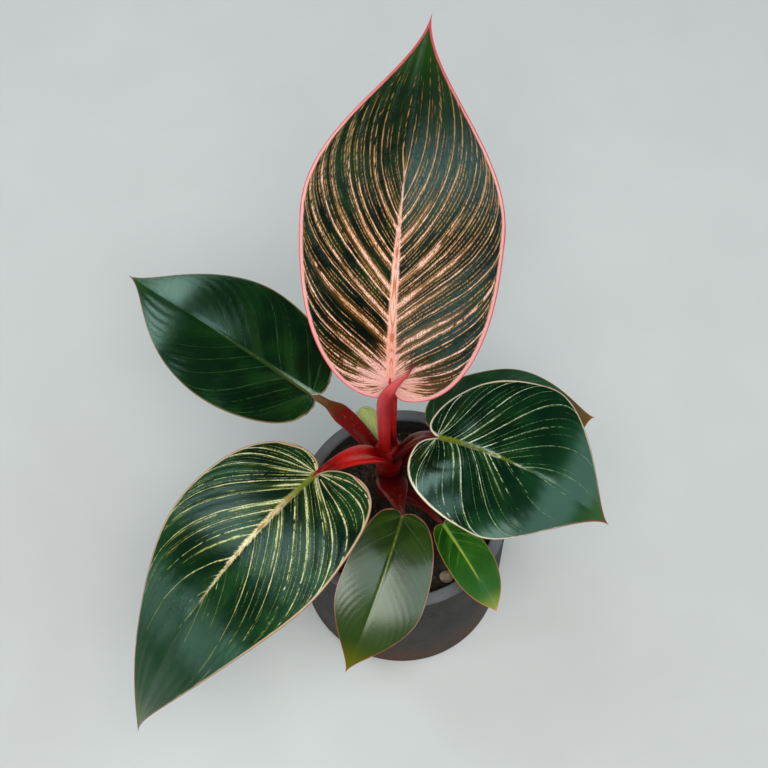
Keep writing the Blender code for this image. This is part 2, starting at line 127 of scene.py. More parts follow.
class Finish:
    """A Principled surface; its node method adds any other node, and the rest are short calls."""

    def __init__(self, name, **constants):
        self.material = bpy.data.materials.new(name)
        self.material.use_nodes = True
        self.tree = self.material.node_tree
        self.shader = self.tree.nodes["Principled BSDF"]
        for socket, value in constants.items():
            self.shader.inputs[socket.replace("_", " ")].default_value = value

    def feed(self, socket, value):
        if isinstance(value, Signal):
            self.tree.links.new(value.socket, socket)
        else:
            socket.default_value = value

    def node(self, kind, settings, inputs, output=0):
        node = self.tree.nodes.new(kind)
        for name, value in settings.items():
            setattr(node, name, value)
        named = inputs.items() if isinstance(inputs, dict) else enumerate(inputs)
        for name, value in named:
            self.feed(node.inputs[name], value)
        return Signal(self, node.outputs[output])

    def place(self):
        return self.node("ShaderNodeTexCoord", {}, {}, "Object")

    def vector(self, x, y, z):
        return self.node("ShaderNodeCombineXYZ", {}, [x, y, z])

    def split(self, vector):
        return [self.node("ShaderNodeSeparateXYZ", {}, [vector], axis) for axis in "XYZ"]

    def attribute(self, name):
        return self.node("ShaderNodeAttribute", {"attribute_name": name}, {}, "Fac")

    def clouds(self, vector, scale, detail=2.0, roughness=0.5):
        inputs = {"Vector": vector, "Scale": scale, "Detail": detail, "Roughness": roughness}
        return self.node("ShaderNodeTexNoise", {}, inputs, "Fac")

    def cells(self, vector, scale):
        return self.node("ShaderNodeTexVoronoi", {}, {"Vector": vector, "Scale": scale}, "Distance")

    def step(self, value, low, high):
        """Runs smoothly from 0 where the value is low to 1 where it is high."""
        settings = {"interpolation_type": "SMOOTHSTEP"}
        return self.node("ShaderNodeMapRange", settings, [value, low, high])

    def mix(self, factor, colour, other):
        settings = {"data_type": "RGBA"}
        return self.node("ShaderNodeMix", settings, {0: factor, 6: colour, 7: other}, 2)

    def wear(self, colour, roughness, height, distance):
        """Feeds the surface: its colour, its roughness, and relief of this depth in metres."""
        self.feed(self.shader.inputs["Base Color"], colour)
        self.feed(self.shader.inputs["Roughness"], roughness)
        bump = self.node("ShaderNodeBump", {}, {"Height": height, "Distance": distance})
        self.feed(self.shader.inputs["Normal"], bump)


def paint(red, green, blue):
    """A colour as it is read off a screen, 0 to 255, made linear."""
    shares = [value / 255 for value in (red, green, blue)]
    return (*[s / 12.92 if s < 0.04045 else ((s + 0.055) / 1.055) ** 2.4 for s in shares], 1)


def piece(name, bm, finishes, nodes):
    """Makes a smooth piece of a bmesh, which rides on the root and stands for these nodes."""
    mesh = bpy.data.meshes.new(name)
    bm.to_mesh(mesh)
    bm.free()
    mesh.shade_smooth()
    for finish in finishes:
        mesh.materials.append(finish.material)
    obj = bpy.data.objects.new(name, mesh)
    bpy.context.scene.collection.objects.link(obj)
    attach(obj, "root")
    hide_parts(*nodes)
    return obj


def arc(x, z, radius, start, end, count=8):
    """Points of a round edge in a profile, its angles in degrees from straight out."""
    angles = np.radians(np.linspace(start, end, count + 1))
    return [(x + radius * cos(angle), z + radius * sin(angle)) for angle in angles]


def turned(profile, steps):
    """A closed shape turned about Z from a profile that starts and ends on the axis."""
    bm = bmesh.new()
    verts = [bm.verts.new((x, 0, z)) for x, z in profile]
    edges = [bm.edges.new(pair) for pair in zip(verts, verts[1:])]
    bmesh.ops.spin(
        bm, geom=verts + edges, axis=(0, 0, 1), cent=(0, 0, 0), angle=2 * pi, steps=steps,
        use_merge=True,
    )
    bmesh.ops.remove_doubles(bm, verts=bm.verts, dist=WELD)
    bmesh.ops.recalc_face_normals(bm, faces=bm.faces)
    return bm


def pot_profile():
    inner = POT_RADIUS - POT_WALL
    rim, foot = POT_RIM_ROUND, POT_FOOT_ROUND
    outside = POT_RADIUS + POT_FOOT_SPREAD - foot
    profile = [(0, POT_FLOOR), (inner / 2, POT_FLOOR)]
    profile += arc(inner - POT_INNER_ROUND, POT_FLOOR + POT_INNER_ROUND, POT_INNER_ROUND, -90, 0)
    profile += arc(inner + rim, POT_HEIGHT - rim, rim, 180, 90)
    profile += arc(POT_RADIUS - rim, POT_HEIGHT - rim, rim, 90, 0)
    profile += arc(outside, foot, foot, 0, -90)
    return [*profile, (inner / 2, 0), (0, 0)]


def drilled(pot):
    """Cuts the drain holes through the pot's floor."""
    bm = bmesh.new()
    for index in range(DRAIN_HOLES):
        angle = 2 * pi * (index + 0.5) / DRAIN_HOLES
        made = bmesh.ops.create_cone(
            bm, cap_ends=True, segments=32, radius1=DRAIN_RADIUS, radius2=DRAIN_RADIUS,
            depth=4 * POT_FLOOR,
        )
        at = (DRAIN_CIRCLE * cos(angle), DRAIN_CIRCLE * sin(angle), 0)
        bmesh.ops.translate(bm, verts=made["verts"], vec=at)
    mesh = bpy.data.meshes.new("drills")
    bm.to_mesh(mesh)
    bm.free()
    drills = bpy.data.objects.new("drills", mesh)
    bpy.context.scene.collection.objects.link(drills)
    cut = pot.modifiers.new("drain holes", "BOOLEAN")
    cut.object = drills
    whole = pot.evaluated_get(bpy.context.evaluated_depsgraph_get())
    pot.data = bpy.data.meshes.new_from_object(whole)
    pot.modifiers.clear()
    pot.data.set_sharp_from_angle(angle=radians(POT_SHARP_EDGE))
    bpy.data.objects.remove(drills)


def cement():
    """Matt grey with fine pits, browner near the foot, and lighter along the rim: wear and a
    painted highlight.
    """
    finish = Finish("grey_cement")
    at = finish.place()
    x, y, z = finish.split(at)
    broad = finish.clouds(at, 38, 5.0, 0.6)
    fine = finish.clouds(at, 420, 3.0, 0.6)
    pits = finish.step(finish.cells(at, 900), 0.30, 0.16) * finish.step(fine, 0.5, 0.62)
    grey = finish.mix(finish.step(broad, 0.36, 0.66), paint(34, 31, 29), paint(54, 51, 48))
    grey = finish.mix(finish.step(fine, 0.40, 0.70) * 0.35, grey, paint(78, 75, 72))
    # Browner toward the foot, most at the front right.
    front_right = finish.step(x * 0.8 - y, 0.0, 0.036)
    low = finish.step(z + broad * 0.014, 0.044, 0.014)
    brown_foot = low * (0.25 + 0.75 * front_right) * finish.step(finish.clouds(at, 95, 4.0), 0.30, 0.54)
    colour = finish.mix(brown_foot * 0.9, grey, paint(84, 54, 34))
    # The rim's top is painted lighter: partly wear, partly a painted highlight where it catches the
    # light.
    rim_wear_and_highlight = finish.step(z + fine * 0.0015, POT_HEIGHT - 0.0013, POT_HEIGHT - 0.0001)
    colour = finish.mix(rim_wear_and_highlight * 0.55, colour, paint(132, 132, 138))
    colour = finish.mix(pits * 0.6, colour, paint(52, 52, 54))
    finish.wear(colour, 0.78 + 0.14 * fine, fine * 0.45 + broad * 0.3 - pits * 0.6, 0.0004)
    return finish


pot = piece("cement_pot", turned(pot_profile(), POT_SIDES), [cement()], ["pot"])
drilled(pot)

# Potting soil
# Moist dark potting soil fills the pot to just under its rim. Its top is lumpy, with loose
# crumbs and shreds of bark lying on it, and it is lower where it meets the wall.

GAP = 0.0003
SOIL_LEVEL = 0.068
SOIL_LUMP = 0.0014
SOIL_EDGE_DIP = 0.0012
SOIL_GRAIN = 0.0007
SOIL_RADIUS = POT_RADIUS - POT_WALL - GAP / 3
SOIL_RINGS = 62
SOIL_SIDES = 180
PEBBLE_AT = (0.0162, -0.0262)
PEBBLE_CLEAR = 0.0042
STEM_X, STEM_Y = -0.0055, 0.0090
STEM_CLEAR = 0.0075
CRUMBS = 620
CRUMB_HALVES = (0.00035, 0.0011)
BARK_SHREDS = 60
BARK_HALVES = (0.0026, 0.0006, 0.0004)


def blend(low, high, x):
    """Runs smoothly from 0 at low to 1 at high."""
    t = np.clip((x - low) / (high - low), 0, 1)
    return t * t * (3 - 2 * t)


def soil_height(x, y):
    """The solid's lumps, with grains on them that thin out round the pebble."""
    far = np.hypot(x, y) / SOIL_RADIUS
    lump = noise.noise(Vector((x, y, 0.0)) * 130) + 0.7 * noise.noise(Vector((x, y, 0.02)) * 340)
    grain = noise.noise(Vector((x, y, 0.3)) * 900) + 0.5 * noise.noise(Vector((x, y, 0.7)) * 2000)
    clear = blend(0.003, 0.007, np.hypot(x - PEBBLE_AT[0], y - PEBBLE_AT[1]))
    height = SOIL_LEVEL - SOIL_EDGE_DIP * far**6
    return height + clear * (SOIL_LUMP * lump + SOIL_GRAIN * grain)


def soil_mesh():
    low = POT_FLOOR + GAP
    profile = [(SOIL_RADIUS * i / SOIL_RINGS, SOIL_LEVEL) for i in range(SOIL_RINGS + 1)]
    profile += [(SOIL_RADIUS, low + POT_INNER_ROUND), (SOIL_RADIUS - POT_INNER_ROUND, low)]
    bm = turned([*profile, (0, low)], SOIL_SIDES)
    for vert in bm.verts:
        if vert.co.z > SOIL_LEVEL - GAP:
            vert.co.z = soil_height(vert.co.x, vert.co.y)
    return bm


def soil_finish(name, dark, light):
    """Moist crumb, dull but for a little shine where it is wettest."""
    finish = Finish(name)
    at = finish.place()
    crumb = finish.clouds(at, 700, 4.0, 0.65)
    broad = finish.clouds(at, 120, 3.0)
    colour = finish.mix(finish.step(crumb * 0.6 + broad * 0.4, 0.38, 0.64), dark, light)
    finish.wear(colour, 0.97 - 0.25 * finish.step(broad, 0.5, 0.7), crumb, 0.0006)
    return finish


def crumbs_mesh(rng):
    """Loose crumbs, each a squashed ball at its own turn, and a few long shreds."""
    bm = bmesh.new()
    for index in range(CRUMBS + BARK_SHREDS):
        angle = rng.uniform(0, 2 * pi)
        far = (SOIL_RADIUS - 0.0016) * rng.uniform(0, 1) ** 0.5
        x, y = far * cos(angle), far * sin(angle)
        made = bmesh.ops.create_icosphere(bm, subdivisions=1, radius=1)
        if index < CRUMBS:
            size = rng.uniform(*CRUMB_HALVES) * rng.uniform(0.7, 1.3, 3)
        else:
            size = rng.uniform(0.8, 1.2) * np.array(BARK_HALVES)
        turn = rng.uniform(0, pi)
        near_stem = np.hypot(x - STEM_X, y - STEM_Y) < STEM_CLEAR
        near_pebble = np.hypot(x - PEBBLE_AT[0], y - PEBBLE_AT[1]) < PEBBLE_CLEAR
        if near_stem or near_pebble:
            bmesh.ops.delete(bm, geom=made["verts"], context="VERTS")
            continue
        for vert in made["verts"]:
            uneven = 1 + 0.25 * noise.noise(vert.co * 3 + Vector((index, 0, 0)))
            a, b, c = np.array(vert.co) * size * uneven
            vert.co = (
                x + a * cos(turn) - b * sin(turn),
                y + a * sin(turn) + b * cos(turn),
                soil_height(x, y) + size[2] * 0.35 + c,
            )
    return bm


soil = soil_finish("dark_soil", paint(22, 17, 14), paint(58, 45, 36))
piece("soil", soil_mesh(), [soil], ["potting_soil"])
loose = soil_finish("loose_crumbs", paint(30, 23, 18), paint(88, 68, 52))
piece("soil_crumbs", crumbs_mesh(np.random.default_rng(4)), [loose], [])

# Pebble
# One small beige pebble of fine sandstone, worn smooth, that lies loose on the soil near the
# front.

PEBBLE_HALVES = (0.0027, 0.0023, 0.0018)


def pebble_mesh():
    bm = bmesh.new()
    bmesh.ops.create_icosphere(bm, subdivisions=4, radius=1)
    for vert in bm.verts:
        uneven = 1 + 0.10 * noise.noise(vert.co * 1.3) + 0.02 * noise.noise(vert.co * 5)
        vert.co = Vector([half * uneven * value for half, value in zip(PEBBLE_HALVES, vert.co)])
    lowest = min(vert.co.z for vert in bm.verts)
    rest = (*PEBBLE_AT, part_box("pebble")[0].z - GAP - lowest)
    bmesh.ops.translate(bm, verts=bm.verts, vec=rest)
    return bm


def sandstone():
    finish = Finish("beige_stone")
    at = finish.place()
    grain = finish.clouds(at, 1500, 3.0)
    bands = finish.clouds(at, 380, 2.0)
    colour = finish.mix(finish.step(bands, 0.35, 0.65), paint(126, 106, 84), paint(160, 140, 114))
    colour = finish.mix(finish.step(grain, 0.58, 0.68), colour, paint(92, 76, 62))
    finish.wear(colour, 0.6 + 0.2 * grain, grain, 0.0001)
    return finish


piece("soil_pebble", pebble_mesh(), [sandstone()], ["pebble"])

# Leaf blades
# Seven leaves, each a thin waxy blade that unrolled from a sheath. The lateral veins sweep from
# the midrib up along the margin, and the cream or pink pinstripes follow them.

LOBE_VEIN_ANGLE = 158
FAN_SHARE = 0.35
LEAVE_HANDLE = 0.34
MEET_HANDLE = 0.46
LAST_VEINS = 0.05
RIB_STEPS = 40
BLADE_THICKNESS = 0.00055
RIM_SHARE = 0.4
RIM_TAPER = 0.0015
GROOVE_DEPTH = 0.00028
GROOVE_HALF_WIDTH = 0.0009
QUILT_RIPPLES = 15
QUILT_HEIGHT = 0.005
SIDE_COLUMNS = 44
COLUMN_POWER = 1.4
CURVE_STEPS = 60
MILLIMETRES = 1000
TEAL_WAX = (0.62, 0.95, 0.84, 1)


@dataclass
class Midline:
    """How a blade's midrib runs: its heading and rise at the petiole, and how they change."""

    heading: float
    sweep: float
    rise: float
    droop: float
    roll: float
    twist: float


@dataclass
class Outline:
    """A blade laid flat: its length, its half widths, the places that shape its margin, how far
    the midrib reaches before it has split up into veins, and the angle at which they leave it."""

    length: float
    left: float
    right: float
    widest: float
    lobe: float
    notch: float
    shoulder: float
    point: float
    rib: float
    veins: float


@dataclass
class Form:
    """How the blade leaves its plane: folded up at the midrib, cupped, and waved."""

    fold: float
    cup: float
    wave: float


@dataclass
class Petiole:
    """A stalk from the stem: its foot, the two points that bend it, and its half widths."""

    foot: float
    bearing: float
    leave: tuple
    arrive: tuple
    sheath: float
    taper: tuple
    stalk: float


@dataclass
class Leaf:
    """One leaf; base is where its blade meets its petiole."""

    name: str
    base: tuple
    midline: Midline
    outline: Outline
    form: Form
    petiole: Petiole
    rows: int


def cubic(a, b, c, d, t):
    """The point at t on a cubic curve with these four control points."""
    s = 1 - t
    return s**3 * a + 3 * s * s * t * b + 3 * s * t * t * c + t**3 * d


def unit(vectors):
    return vectors / np.maximum(np.linalg.norm(vectors, axis=-1, keepdims=True), 1e-12)


def read(values, shares, share):
    """Values known at these shares, read at others, column by column."""
    return np.stack([np.interp(share, shares, column) for column in np.array(values).T], -1)


def direction(heading, rise):
    h, p = radians(heading), radians(rise)
    return np.array((cos(p) * cos(h), cos(p) * sin(h), sin(p)))


class Midrib:
    """The midrib's line in space, with the blade's across and up directions along it."""

    def __init__(self, leaf):
        line = leaf.midline
        self.length = leaf.outline.length
        self.shares = np.linspace(0, 1, RIB_STEPS + 1)
        self.points, self.across, self.up, self.along = [np.array(leaf.base)], [], [], []
        for share in self.shares:
            heading = line.heading + line.sweep * share
            along = direction(heading, line.rise - line.droop * share)
            side = direction(heading - 90, 0)
            top = np.cross(side, along)
            roll = radians(line.roll + line.twist * share)
            self.along.append(along)
            self.across.append(side * cos(roll) + top * sin(roll))
            self.up.append(top * cos(roll) - side * sin(roll))
        step = self.length / RIB_STEPS
        for before, after in zip(self.along, self.along[1:]):
            self.points.append(self.points[-1] + (before + after) / 2 * step)

    def place(self, x, y, lift):
        """Points x across and y along the blade, lifted from its plane."""
        share = np.clip(y / self.length, 0, 1)
        start = read(self.points, self.shares, share) + self.along[0] * np.minimum(y, 0)[:, None]
        aside = read(self.across, self.shares, share) * x[:, None]
        return start + aside + read(self.up, self.shares, share) * lift[:, None]


class HalfBlade:
    """One half of a blade in its own plane, laid out along its veins."""

    def __init__(self, outline, half_width, spacing=((0, 1), (0, 1))):
        self.outline, self.half_width, self.spacing = outline, half_width, spacing
        widest = outline.widest * outline.length
        upper = outline.length - widest
        sinus, tip = np.array((0, 0)), np.array((0, outline.length))
        lobe = np.array((outline.notch * half_width, -outline.lobe))
        side = np.array((half_width, widest))
        lobe_rise = 0.55 * (widest + outline.lobe)
        lobe_reach = 0.6 * (half_width - lobe[0])
        sinus_handle = np.array((0.10 * half_width, -0.7 * outline.lobe))
        tip_handle = np.array((0.03 * half_width, -outline.point * upper))
        curves = (
            (sinus, sinus_handle, lobe - (0.45 * lobe[0], 0), lobe),
            (lobe, lobe + (lobe_reach, 0), side - (0, lobe_rise), side),
            (side, side + (0, outline.shoulder * upper), tip + tip_handle, tip),
        )
        shares = np.linspace(0, 1, CURVE_STEPS + 1)[:, None]
        lines = [cubic(*curve, shares) for curve in curves]
        self.line = np.vstack([lines[0], lines[1][1:], lines[2][1:]])
        travelled = np.concatenate(([0], np.cumsum(np.hypot(*np.diff(self.line, axis=0).T))))
        self.shares = travelled / travelled[-1]
        self.lobe_share = self.shares[CURVE_STEPS]

    def vein(self, v, r):
        """Points r of the way out on the veins numbered v, from 0 at the lobe to 1 at the tip."""
        length = self.outline.length
        share = self.lobe_share + (1 - self.lobe_share) * np.interp(v, *self.spacing)
        end = read(self.line, self.shares, share)
        ahead = read(self.line, self.shares, np.minimum(share + 0.004, 1))
        heading = unit(ahead - read(self.line, self.shares, share - 0.004))
        met = end[:, 1] / length
        free = np.clip((1 - met) / (1 - FAN_SHARE), 0, 1)
        last = np.exp(-free / LAST_VEINS)
        heading = unit(heading * (1 - last[:, None]) + np.array((0, 1)) * last[:, None])
        start = np.stack([0 * met, length * self.outline.rib * (1 - free**0.58)], -1)
        back = np.clip((FAN_SHARE - met) / (FAN_SHARE + self.outline.lobe / length), 0, 1)
        angle = self.outline.veins * (1 - last) + (LOBE_VEIN_ANGLE - self.outline.veins) * back**1.6
        angle = np.radians(angle)
        handle = np.linalg.norm(end - start, axis=-1, keepdims=True)
        leave = start + np.stack([np.sin(angle), np.cos(angle)], -1) * handle * LEAVE_HANDLE
        return cubic(start, leave, end - heading * handle * MEET_HANDLE, end, r[:, None])

    def lane(self, v, r):
        """How far apart the veins are, in metres for one unit of v."""
        low, high = np.maximum(v - 0.002, 0), np.minimum(v + 0.002, 1)
        across = (self.vein(high, r) - self.vein(low, r)) / (high - low)[:, None]
        along = unit(self.vein(v, np.minimum(r + 0.01, 1)) - self.vein(v, np.maximum(r - 0.01, 0)))
        return np.abs(across[:, 0] * along[:, 1] - across[:, 1] * along[:, 0])

    def even(self):
        """The spacing that puts the veins equally far apart in the middle of their length."""
        shares = np.linspace(0, 1, 401)
        apart = self.lane((shares[1:] + shares[:-1]) / 2, np.full(400, 0.6))
        numbers = np.concatenate(([0], np.cumsum(apart)))
        return numbers / numbers[-1], shares

    def lift(self, form, sign, points):
        """How far the folded, cupped and waved half is from its plane."""
        out, way = points[:, 0] / self.half_width, points[:, 1] / self.outline.length
        phase = 2.2 * way + (0.3 if sign > 0 else 0)
        rise = form.fold * points[:, 0] - form.cup * out * out * self.half_width
        return rise + form.wave * out * out * np.sin(2 * pi * phase) * (1 - way)

    def upward(self, rib, form, sign, points):
        """The half's direction up from its face at each point."""
        step = 0.0002
        spots = [points, points + (step, 0), points - (0, step)]
        here, out, back = [
            rib.place(spot[:, 0] * sign, spot[:, 1], self.lift(form, sign, spot)) for spot in spots
        ]
        return unit(np.cross(out - here, here - back)) * sign

    def edge(self, points):
        """How far each point is from the blade's margin."""
        fan = self.vein(np.zeros(30), np.linspace(0, 1, 30))
        rim = self.vein(np.linspace(0, 1, 160), np.ones(160))
        nearest = np.full(len(points), np.inf)
        for line in (fan, rim):
            for start, end in zip(line, line[1:]):
                run = end - start
                share = np.clip((points - start) @ run / max(run @ run, 1e-18), 0, 1)
                nearest = np.minimum(nearest, np.hypot(*(points - start - share[:, None] * run).T))
        return nearest


def blade_mesh(leaf):
    """A fine grid laid along the veins, which is then given its thickness downwards. Its UV map
    has how far out a point is and its vein's number; its attributes have distances in mm."""
    bm = bmesh.new()
    bmesh.ops.create_grid(bm, x_segments=2 * SIDE_COLUMNS, y_segments=leaf.rows, size=0.5)
    grid = np.array([vert.co for vert in bm.verts])
    spread = np.sign(grid[:, 0]) * np.abs(2 * grid[:, 0]) ** COLUMN_POWER
    v, r = grid[:, 1] + 0.5, np.abs(spread)
    veins = bm.loops.layers.uv.new("veins")
    bm.verts.index_update()
    for face in bm.faces:
        for loop in face.loops:
            index = loop.vert.index
            loop[veins].uv = (0.5 + 0.5 * spread[index], v[index])
    flat = np.zeros((len(v), 2))
    lane, edge, lift, travel = np.zeros((4, len(v)))
    upward = np.zeros((len(v), 3))
    rib = Midrib(leaf)
    spacing = HalfBlade(leaf.outline, (leaf.outline.left + leaf.outline.right) / 2).even()
    for sign, half_width in ((-1, leaf.outline.left), (1, leaf.outline.right)):
        half = HalfBlade(leaf.outline, half_width, spacing)
        on = spread > 0 if sign > 0 else spread <= 0
        points = half.vein(v[on], r[on])
        lane[on], edge[on] = half.lane(v[on], r[on]), half.edge(points)
        travel[on] = np.hypot(*(points - half.vein(v[on], 0 * r[on])).T)
        upward[on] = half.upward(rib, leaf.form, sign, points)
        quilt = np.sin(2 * pi * QUILT_RIPPLES * v[on]) * r[on] * blend(0, 0.004, edge[on])
        quilt *= QUILT_HEIGHT * leaf.outline.length**2 * blend(0, 0.02, lane[on])
        lift[on] = half.lift(leaf.form, sign, points) + quilt
        flat[on] = points * (sign, 1)
    left = 1 - np.clip(flat[:, 1] / leaf.outline.length, 0, 1)
    groove = GROOVE_DEPTH * np.exp(-((flat[:, 0] / GROOVE_HALF_WIDTH) ** 2)) * left
    places = rib.place(flat[:, 0], flat[:, 1], lift - groove)
    facts = {
        "lane": lane * MILLIMETRES,
        "edge": edge * MILLIMETRES,
        "aside": np.abs(flat[:, 0]) * MILLIMETRES,
        "way": flat[:, 1] / leaf.outline.length,
        "travel": travel * MILLIMETRES,
    }
    layers = {name: bm.verts.layers.float.new(name) for name in facts}
    depth = bm.verts.layers.float_vector.new("depth")
    for index, vert in enumerate(bm.verts):
        vert.co = places[index]
        for name, values in facts.items():
            vert[layers[name]] = values[index]
        full = blend(0, RIM_TAPER, edge[index])
        thickness = BLADE_THICKNESS * (RIM_SHARE + (1 - RIM_SHARE) * full)
        vert[depth] = Vector(upward[index]) * thickness
    bmesh.ops.remove_doubles(bm, verts=bm.verts, dist=2 * WELD)
    whole = [*bm.verts, *bm.edges, *bm.faces]
    below = bmesh.ops.extrude_face_region(bm, geom=whole, use_keep_orig=True)["geom"]
    for part in below:
        if isinstance(part, bmesh.types.BMVert):
            part.co -= part[depth]
        elif isinstance(part, bmesh.types.BMFace):
            part.material_index = 1
    bm.verts.layers.float_vector.remove(depth)
    bmesh.ops.recalc_face_normals(bm, faces=bm.faces)
    return bm


@dataclass
class Look:
    """What one blade's finish needs: its colours, how many stripes of each kind a half has, and
    their half widths in mm. The defaults are those of a plain leaf. flare widens the stripes at
    the midrib, gilt turns them golden toward the tip, wash floods the blade's base, slim narrows
    the margin's band toward the tip, and fade is where the stripes die away."""

    body: tuple
    glow: tuple
    tip: tuple
    halo: tuple
    pale: tuple
    warm: tuple
    margin: tuple
    rim: tuple
    rib_foot: tuple
    rib: tuple
    core: tuple
    fine: float
    fine_half: float
    lines: float
    line_half: float
    rib_half: float
    rib_fray: float
    band: float
    roughness: float
    specular: float
    seed: float
    streaks: float = 3
    streak_half: float = 0.1
    flare: float = 0.1
    gilt: float = 0.45
    wash: float = 0.0
    slim: float = 1.0
    fade: tuple = (0.1, 0.9)
    wax: tuple = TEAL_WAX


@dataclass
class Stripe:
    """Of the nearest stripe in a set: how far it is and how far apart they are, both in mm, its
    number, and two chances of its own."""

    aside: Signal
    apart: Signal
    number: Signal
    chance: Signal
    other: Signal


class Veins:
    """What a blade's finish knows of a point, and the stripes that it draws along the veins."""

    def __init__(self, finish, seed):
        self.finish, self.seed = finish, seed
        u, self.v, _ = finish.split(finish.node("ShaderNodeUVMap", {"uv_map": "veins"}, {}))
        self.out = abs(u * 2 - 1)
        self.side = u.math("GREATER_THAN", 0.5)
        self.lane, self.edge = finish.attribute("lane"), finish.attribute("edge")
        self.aside, self.way = finish.attribute("aside"), finish.attribute("way")
        self.travel = finish.attribute("travel")
        sway = self.spot(self.travel * 0.06, self.v * 9, 0.0, 1.0)
        kink = self.spot(self.travel * 0.3, self.v * 40, 2.0, 1.0)
        self.bent = self.v + (sway - 0.5) * 0.014 + (kink - 0.5) * 0.0045

    def spot(self, along, across, seed, detail):
        """Soft noise that differs from side to side and from leaf to leaf."""
        place = self.finish.vector(along, across, self.side * 9 + seed + self.seed)
        return self.finish.clouds(place, 1.0, detail)

    def brushed(self, along, across, seed):
        """Long soft marks that lie along the veins, so many to a millimetre and to a blade."""
        return self.spot(self.travel * along, self.bent * across, seed, 2.0)

    def stripes(self, count, seed):
        scaled = self.bent * count + self.side * 0.43
        number = scaled.math("FLOOR")
        place = self.finish.vector(number, self.side, seed + self.seed)
        chances = self.finish.node("ShaderNodeTexWhiteNoise", {}, {"Vector": place}, "Color")
        shift, chance, other = self.finish.split(chances)
        apart = self.lane / count
        aside = abs(scaled - number - (0.22 + 0.56 * shift)) * apart
        return Stripe(aside, apart, number, chance, other)

    def patches(self, stripe, along, seed):
        """Soft patches along each stripe of a set, so many to a millimetre."""
        return self.spot(self.travel * along, stripe.number * 5.3, seed, 1.0)


